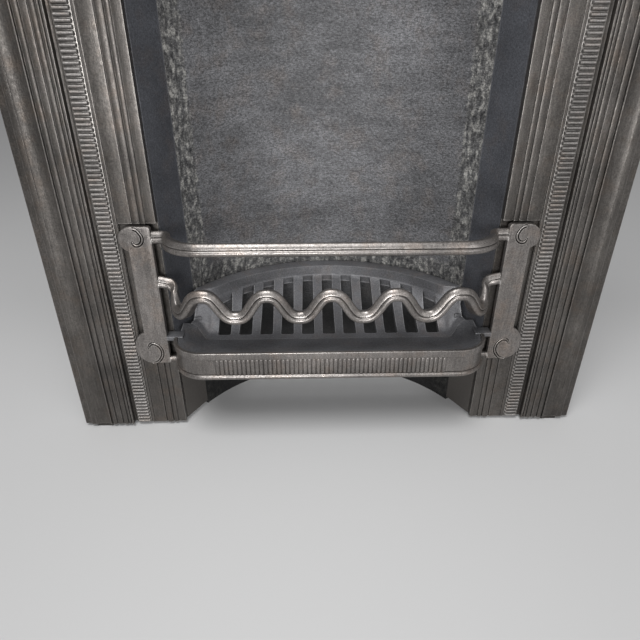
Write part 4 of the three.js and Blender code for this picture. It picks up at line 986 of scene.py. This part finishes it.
def make_grate():
    """Columns from the front strip up the slotted floor to the flat ledge along the fireback."""
    thickness, ledge_thickness, ledge_z = 9, 8, grate_high.z
    rings = []
    for front, back, wing, front_z in grate_columns(44):
        length = (back - front).length
        direction = (back - front).normalized()
        from_centre = front - Vector((0, BACK_CENTRE_Y))
        b = from_centre.dot(direction)
        gap = LEDGE_RADIUS**2 - from_centre.length_squared
        reach = -b + math.sqrt(b * b + gap) if gap > 0 else 0
        ledge_at = max(reach, 0.6 * length)
        strip = min(STRIP_DEPTH, 0.15 * length + 4)
        inner_z = 196 - 12 * wing
        shares = [0, 0.08, 0.16, 0.25, 0.35, 0.45, 0.55, 0.65, 0.75, 0.85, 0.93, 1]
        dish = [(strip + s * (ledge_at - 1 - strip), front_z + (inner_z - front_z) * s**1.5) for s in shares]
        under_ledge = ledge_z - ledge_thickness
        outline = [(0, front_z - 1), (0.3, front_z - 0.3), (1, front_z), *dish]
        outline += [(ledge_at - 0.4, inner_z + 1.2), (ledge_at, ledge_z - 1.4),
                    (ledge_at + 0.4, ledge_z - 0.4), (ledge_at + 1.4, ledge_z), (length - 1.2, ledge_z),
                    (length - 0.3, ledge_z - 0.3), (length, ledge_z - 1.2), (length, under_ledge)]
        outline += [(min(ledge_at + 7, length - 2), under_ledge),
                    (min(ledge_at + 6, length - 3), min(inner_z - thickness + 3, under_ledge - 1))]
        outline += [(p, z - thickness) for p, z in reversed(dish[:-2])]
        outline.append((0, front_z - thickness))
        rings.append([(front.x + direction.x * p, front.y + direction.y * p, z) for p, z in outline])
    body = loft("bottom_grate_casting", rings)
    slots = [make_slot((i - (SLOT_COUNT - 1) / 2) * SLOT_PITCH) for i in range(SLOT_COUNT)]
    combine(body, [joined("slots", slots)], "DIFFERENCE")
    feet = []
    for side in (-1, 1):
        x0, x1 = sorted((side * 190, side * 200))
        feet.append(box("foot", x0, x1, 34, 46, 156, 172))
    return combine(body, feet, "UNION")


def make_slot(x):
    """A slot from the front strip to the foot of the arched ledge, a little narrower behind."""
    front = MEETING[0] + GRATE_CLEARANCE + STRIP_DEPTH
    f, b = SLOT_FRONT / 2, SLOT_BACK / 2
    corner, nick = 3, 0.6

    def arch_at(px):
        return BACK_CENTRE_Y + math.sqrt((LEDGE_RADIUS - SLOT_INSET)**2 - px**2) - SLOT_INSET

    outline = arc(x - f + corner, front + corner, corner, corner, 270, 180, 5)
    outline += [(x - b, arch_at(x - b) - nick), (x - b + nick, arch_at(x - b + nick))]
    outline += [(x + b - nick, arch_at(x + b - nick)), (x + b, arch_at(x + b) - nick)]
    outline += arc(x + f - corner, front + corner, corner, corner, 0, -90, 5)
    return prism("slot", outline, "z", 132, grate_high.z - 2)


# ------------------------------------------------------------------ damper knob
def make_knob():
    """A ball on a stem with a collar, turned about the vertical."""
    low, high = box_mm("damper_knob")
    y = (low.y + high.y) / 2
    ball = (high.x - low.x) / 2
    middle = low.z + ball
    turns = [math.radians(a) for a in range(-84, 52, 9)]
    profile = [(ball * math.cos(a), middle + ball * math.sin(a)) for a in turns]
    profile += [(3.6, low.z + 2 * ball - 0.6), (3.5, middle + 26), (5, middle + 28), (5, middle + 30),
                (3, middle + 30), (3, high.z)]
    sides = 28
    round_points = [2 * math.pi * i / sides for i in range(sides)]
    rings = [[(r * math.cos(a), y + r * math.sin(a), z) for a in round_points] for r, z in profile]
    return loft("damper_knob_turned", rings)


# ------------------------------------------------------------------ build
dress_pair(make_jamb, "jamb", FRAME_IRON, "fireplace", "frame_iron")
right_ribs = make_jamb_ribs("right_jamb_ribs")
for ribs in (right_ribs, mirrored(right_ribs, "left_jamb_ribs_cast")):
    dress(ribs, RIB_IRON, "fireplace", "frame_iron")
dress(make_head(), FRAME_IRON, "fireplace", "frame_iron", "head")
dress(make_head_ribs(), RIB_IRON, "fireplace", "frame_iron")
dress(make_shelf(), FRAME_IRON, "fireplace", "frame_iron", "mantel_shelf")
dress_pair(make_corbel, "corbel", FRAME_IRON, "fireplace", "frame_iron")
dress(make_fireback(), BACK_IRON, "fireplace", "fireback_iron", "fireback")
dress_pair(make_upright, "upright", BAR_IRON, "fire_front", "bar_iron")
dress(make_top_bar(), BAR_IRON, "fire_front", "bar_iron", "top_bar")
dress(make_wave_bar(), BAR_IRON, "fire_front", "bar_iron", "serpentine_bar")
dress(make_apron(), BAR_IRON, "fire_front", "bar_iron", "ribbed_apron")
dress(make_rail(), BAR_IRON, "fire_front", "bar_iron", "bottom_rail")
dress(make_pan(), PAN_IRON, "fire_front", "grate_iron", "front_pan")
dress(make_grate(), GRATE_IRON, "grate", "grate_iron", "bottom_grate")
dress(make_knob(), BAR_IRON, "damper", "bar_iron", "damper_knob")

# Nodes that no piece replaces show as they are: these in dark iron, and the bolts and the pin in steel.
DARK_NODES = ("cheek", "throat", "flap", "cleat")
for name, obj in nodes.items():
    material = DARK_IRON if any(key in name for key in DARK_NODES) else FRAME_IRON
    if "bolt" in name or "pin" in name:
        material = BOLT_STEEL
    obj.data.materials.clear()
    obj.data.materials.append(material)

# ------------------------------------------------------------------ stage, light and camera
FLOOR_HALF = 4.0
FLOOR_GREY = 0.58

floor_material = bpy.data.materials.new("floor")
floor_material.use_nodes = True
floor_shader = floor_material.node_tree.nodes["Principled BSDF"]
floor_shader.inputs["Base Color"].default_value = (FLOOR_GREY, FLOOR_GREY, FLOOR_GREY, 1)
floor_shader.inputs["Roughness"].default_value = 0.9
corners = [(FLOOR_HALF * a, FLOOR_HALF * b, 0) for a, b in ((-1, -1), (1, -1), (1, 1), (-1, 1))]
floor_mesh = bpy.data.meshes.new("floor")
floor_mesh.from_pydata(corners, [], [(0, 1, 2, 3)])
floor = bpy.data.objects.new("floor", floor_mesh)
bpy.context.scene.collection.objects.link(floor)
floor_mesh.materials.append(floor_material)

world = bpy.data.worlds.new("studio")
bpy.context.scene.world = world
world.use_nodes = True
sky = world.node_tree.nodes["Background"]
sky.inputs["Color"].default_value = (0.93, 0.93, 0.94, 1)
sky.inputs["Strength"].default_value = 0.36


LIT_POINT = Vector((0, 0, 0.3))


def add_lamp(name, kind, place, target, power):
    """A lamp of a kind at a place, turned to the target."""
    data = bpy.data.lights.new(name, kind)
    data.energy = power
    lamp = bpy.data.objects.new(name, data)
    bpy.context.scene.collection.objects.link(lamp)
    lamp.location = place
    lamp.rotation_euler = (target - Vector(place)).to_track_quat("-Z", "Y").to_euler()
    return data


add_lamp("key", "AREA", (-0.3, -1.05, 2.2), LIT_POINT, 37).size = 1.0
add_lamp("fill", "AREA", (1.3, -1.9, 1.3), LIT_POINT, 10).size = 1.2
# A soft round lamp whose cone stays on the object, so that the floor before it isn't lit up.
front_lamp = add_lamp("front", "SPOT", (-0.2, -1.75, 0.5), Vector((0, 0, 0.34)), 76)
front_lamp.shadow_soft_size = 0.22
front_lamp.spot_size = math.radians(42)
front_lamp.spot_blend = 1.0

EYE = Vector((-0.0305, -0.652 + FACE_Y, 0.537 + JAMB_BOTTOM * MM))
FORWARD = Vector((0.02217, 0.8760, -0.4818)).normalized()
RIGHT = Vector((0.99968, -0.0253, 0)).normalized()
camera_data = bpy.data.cameras.new("camera")
camera_data.sensor_width = 36
camera_data.lens = 29.36
camera_data.clip_start = 0.02
camera = bpy.data.objects.new("camera", camera_data)
bpy.context.scene.collection.objects.link(camera)
up = RIGHT.cross(FORWARD)
camera.matrix_world = Matrix.Translation(EYE) @ Matrix((RIGHT, up, -FORWARD)).transposed().to_4x4()
bpy.context.scene.camera = camera
bpy.context.scene.view_settings.view_transform = "Standard"
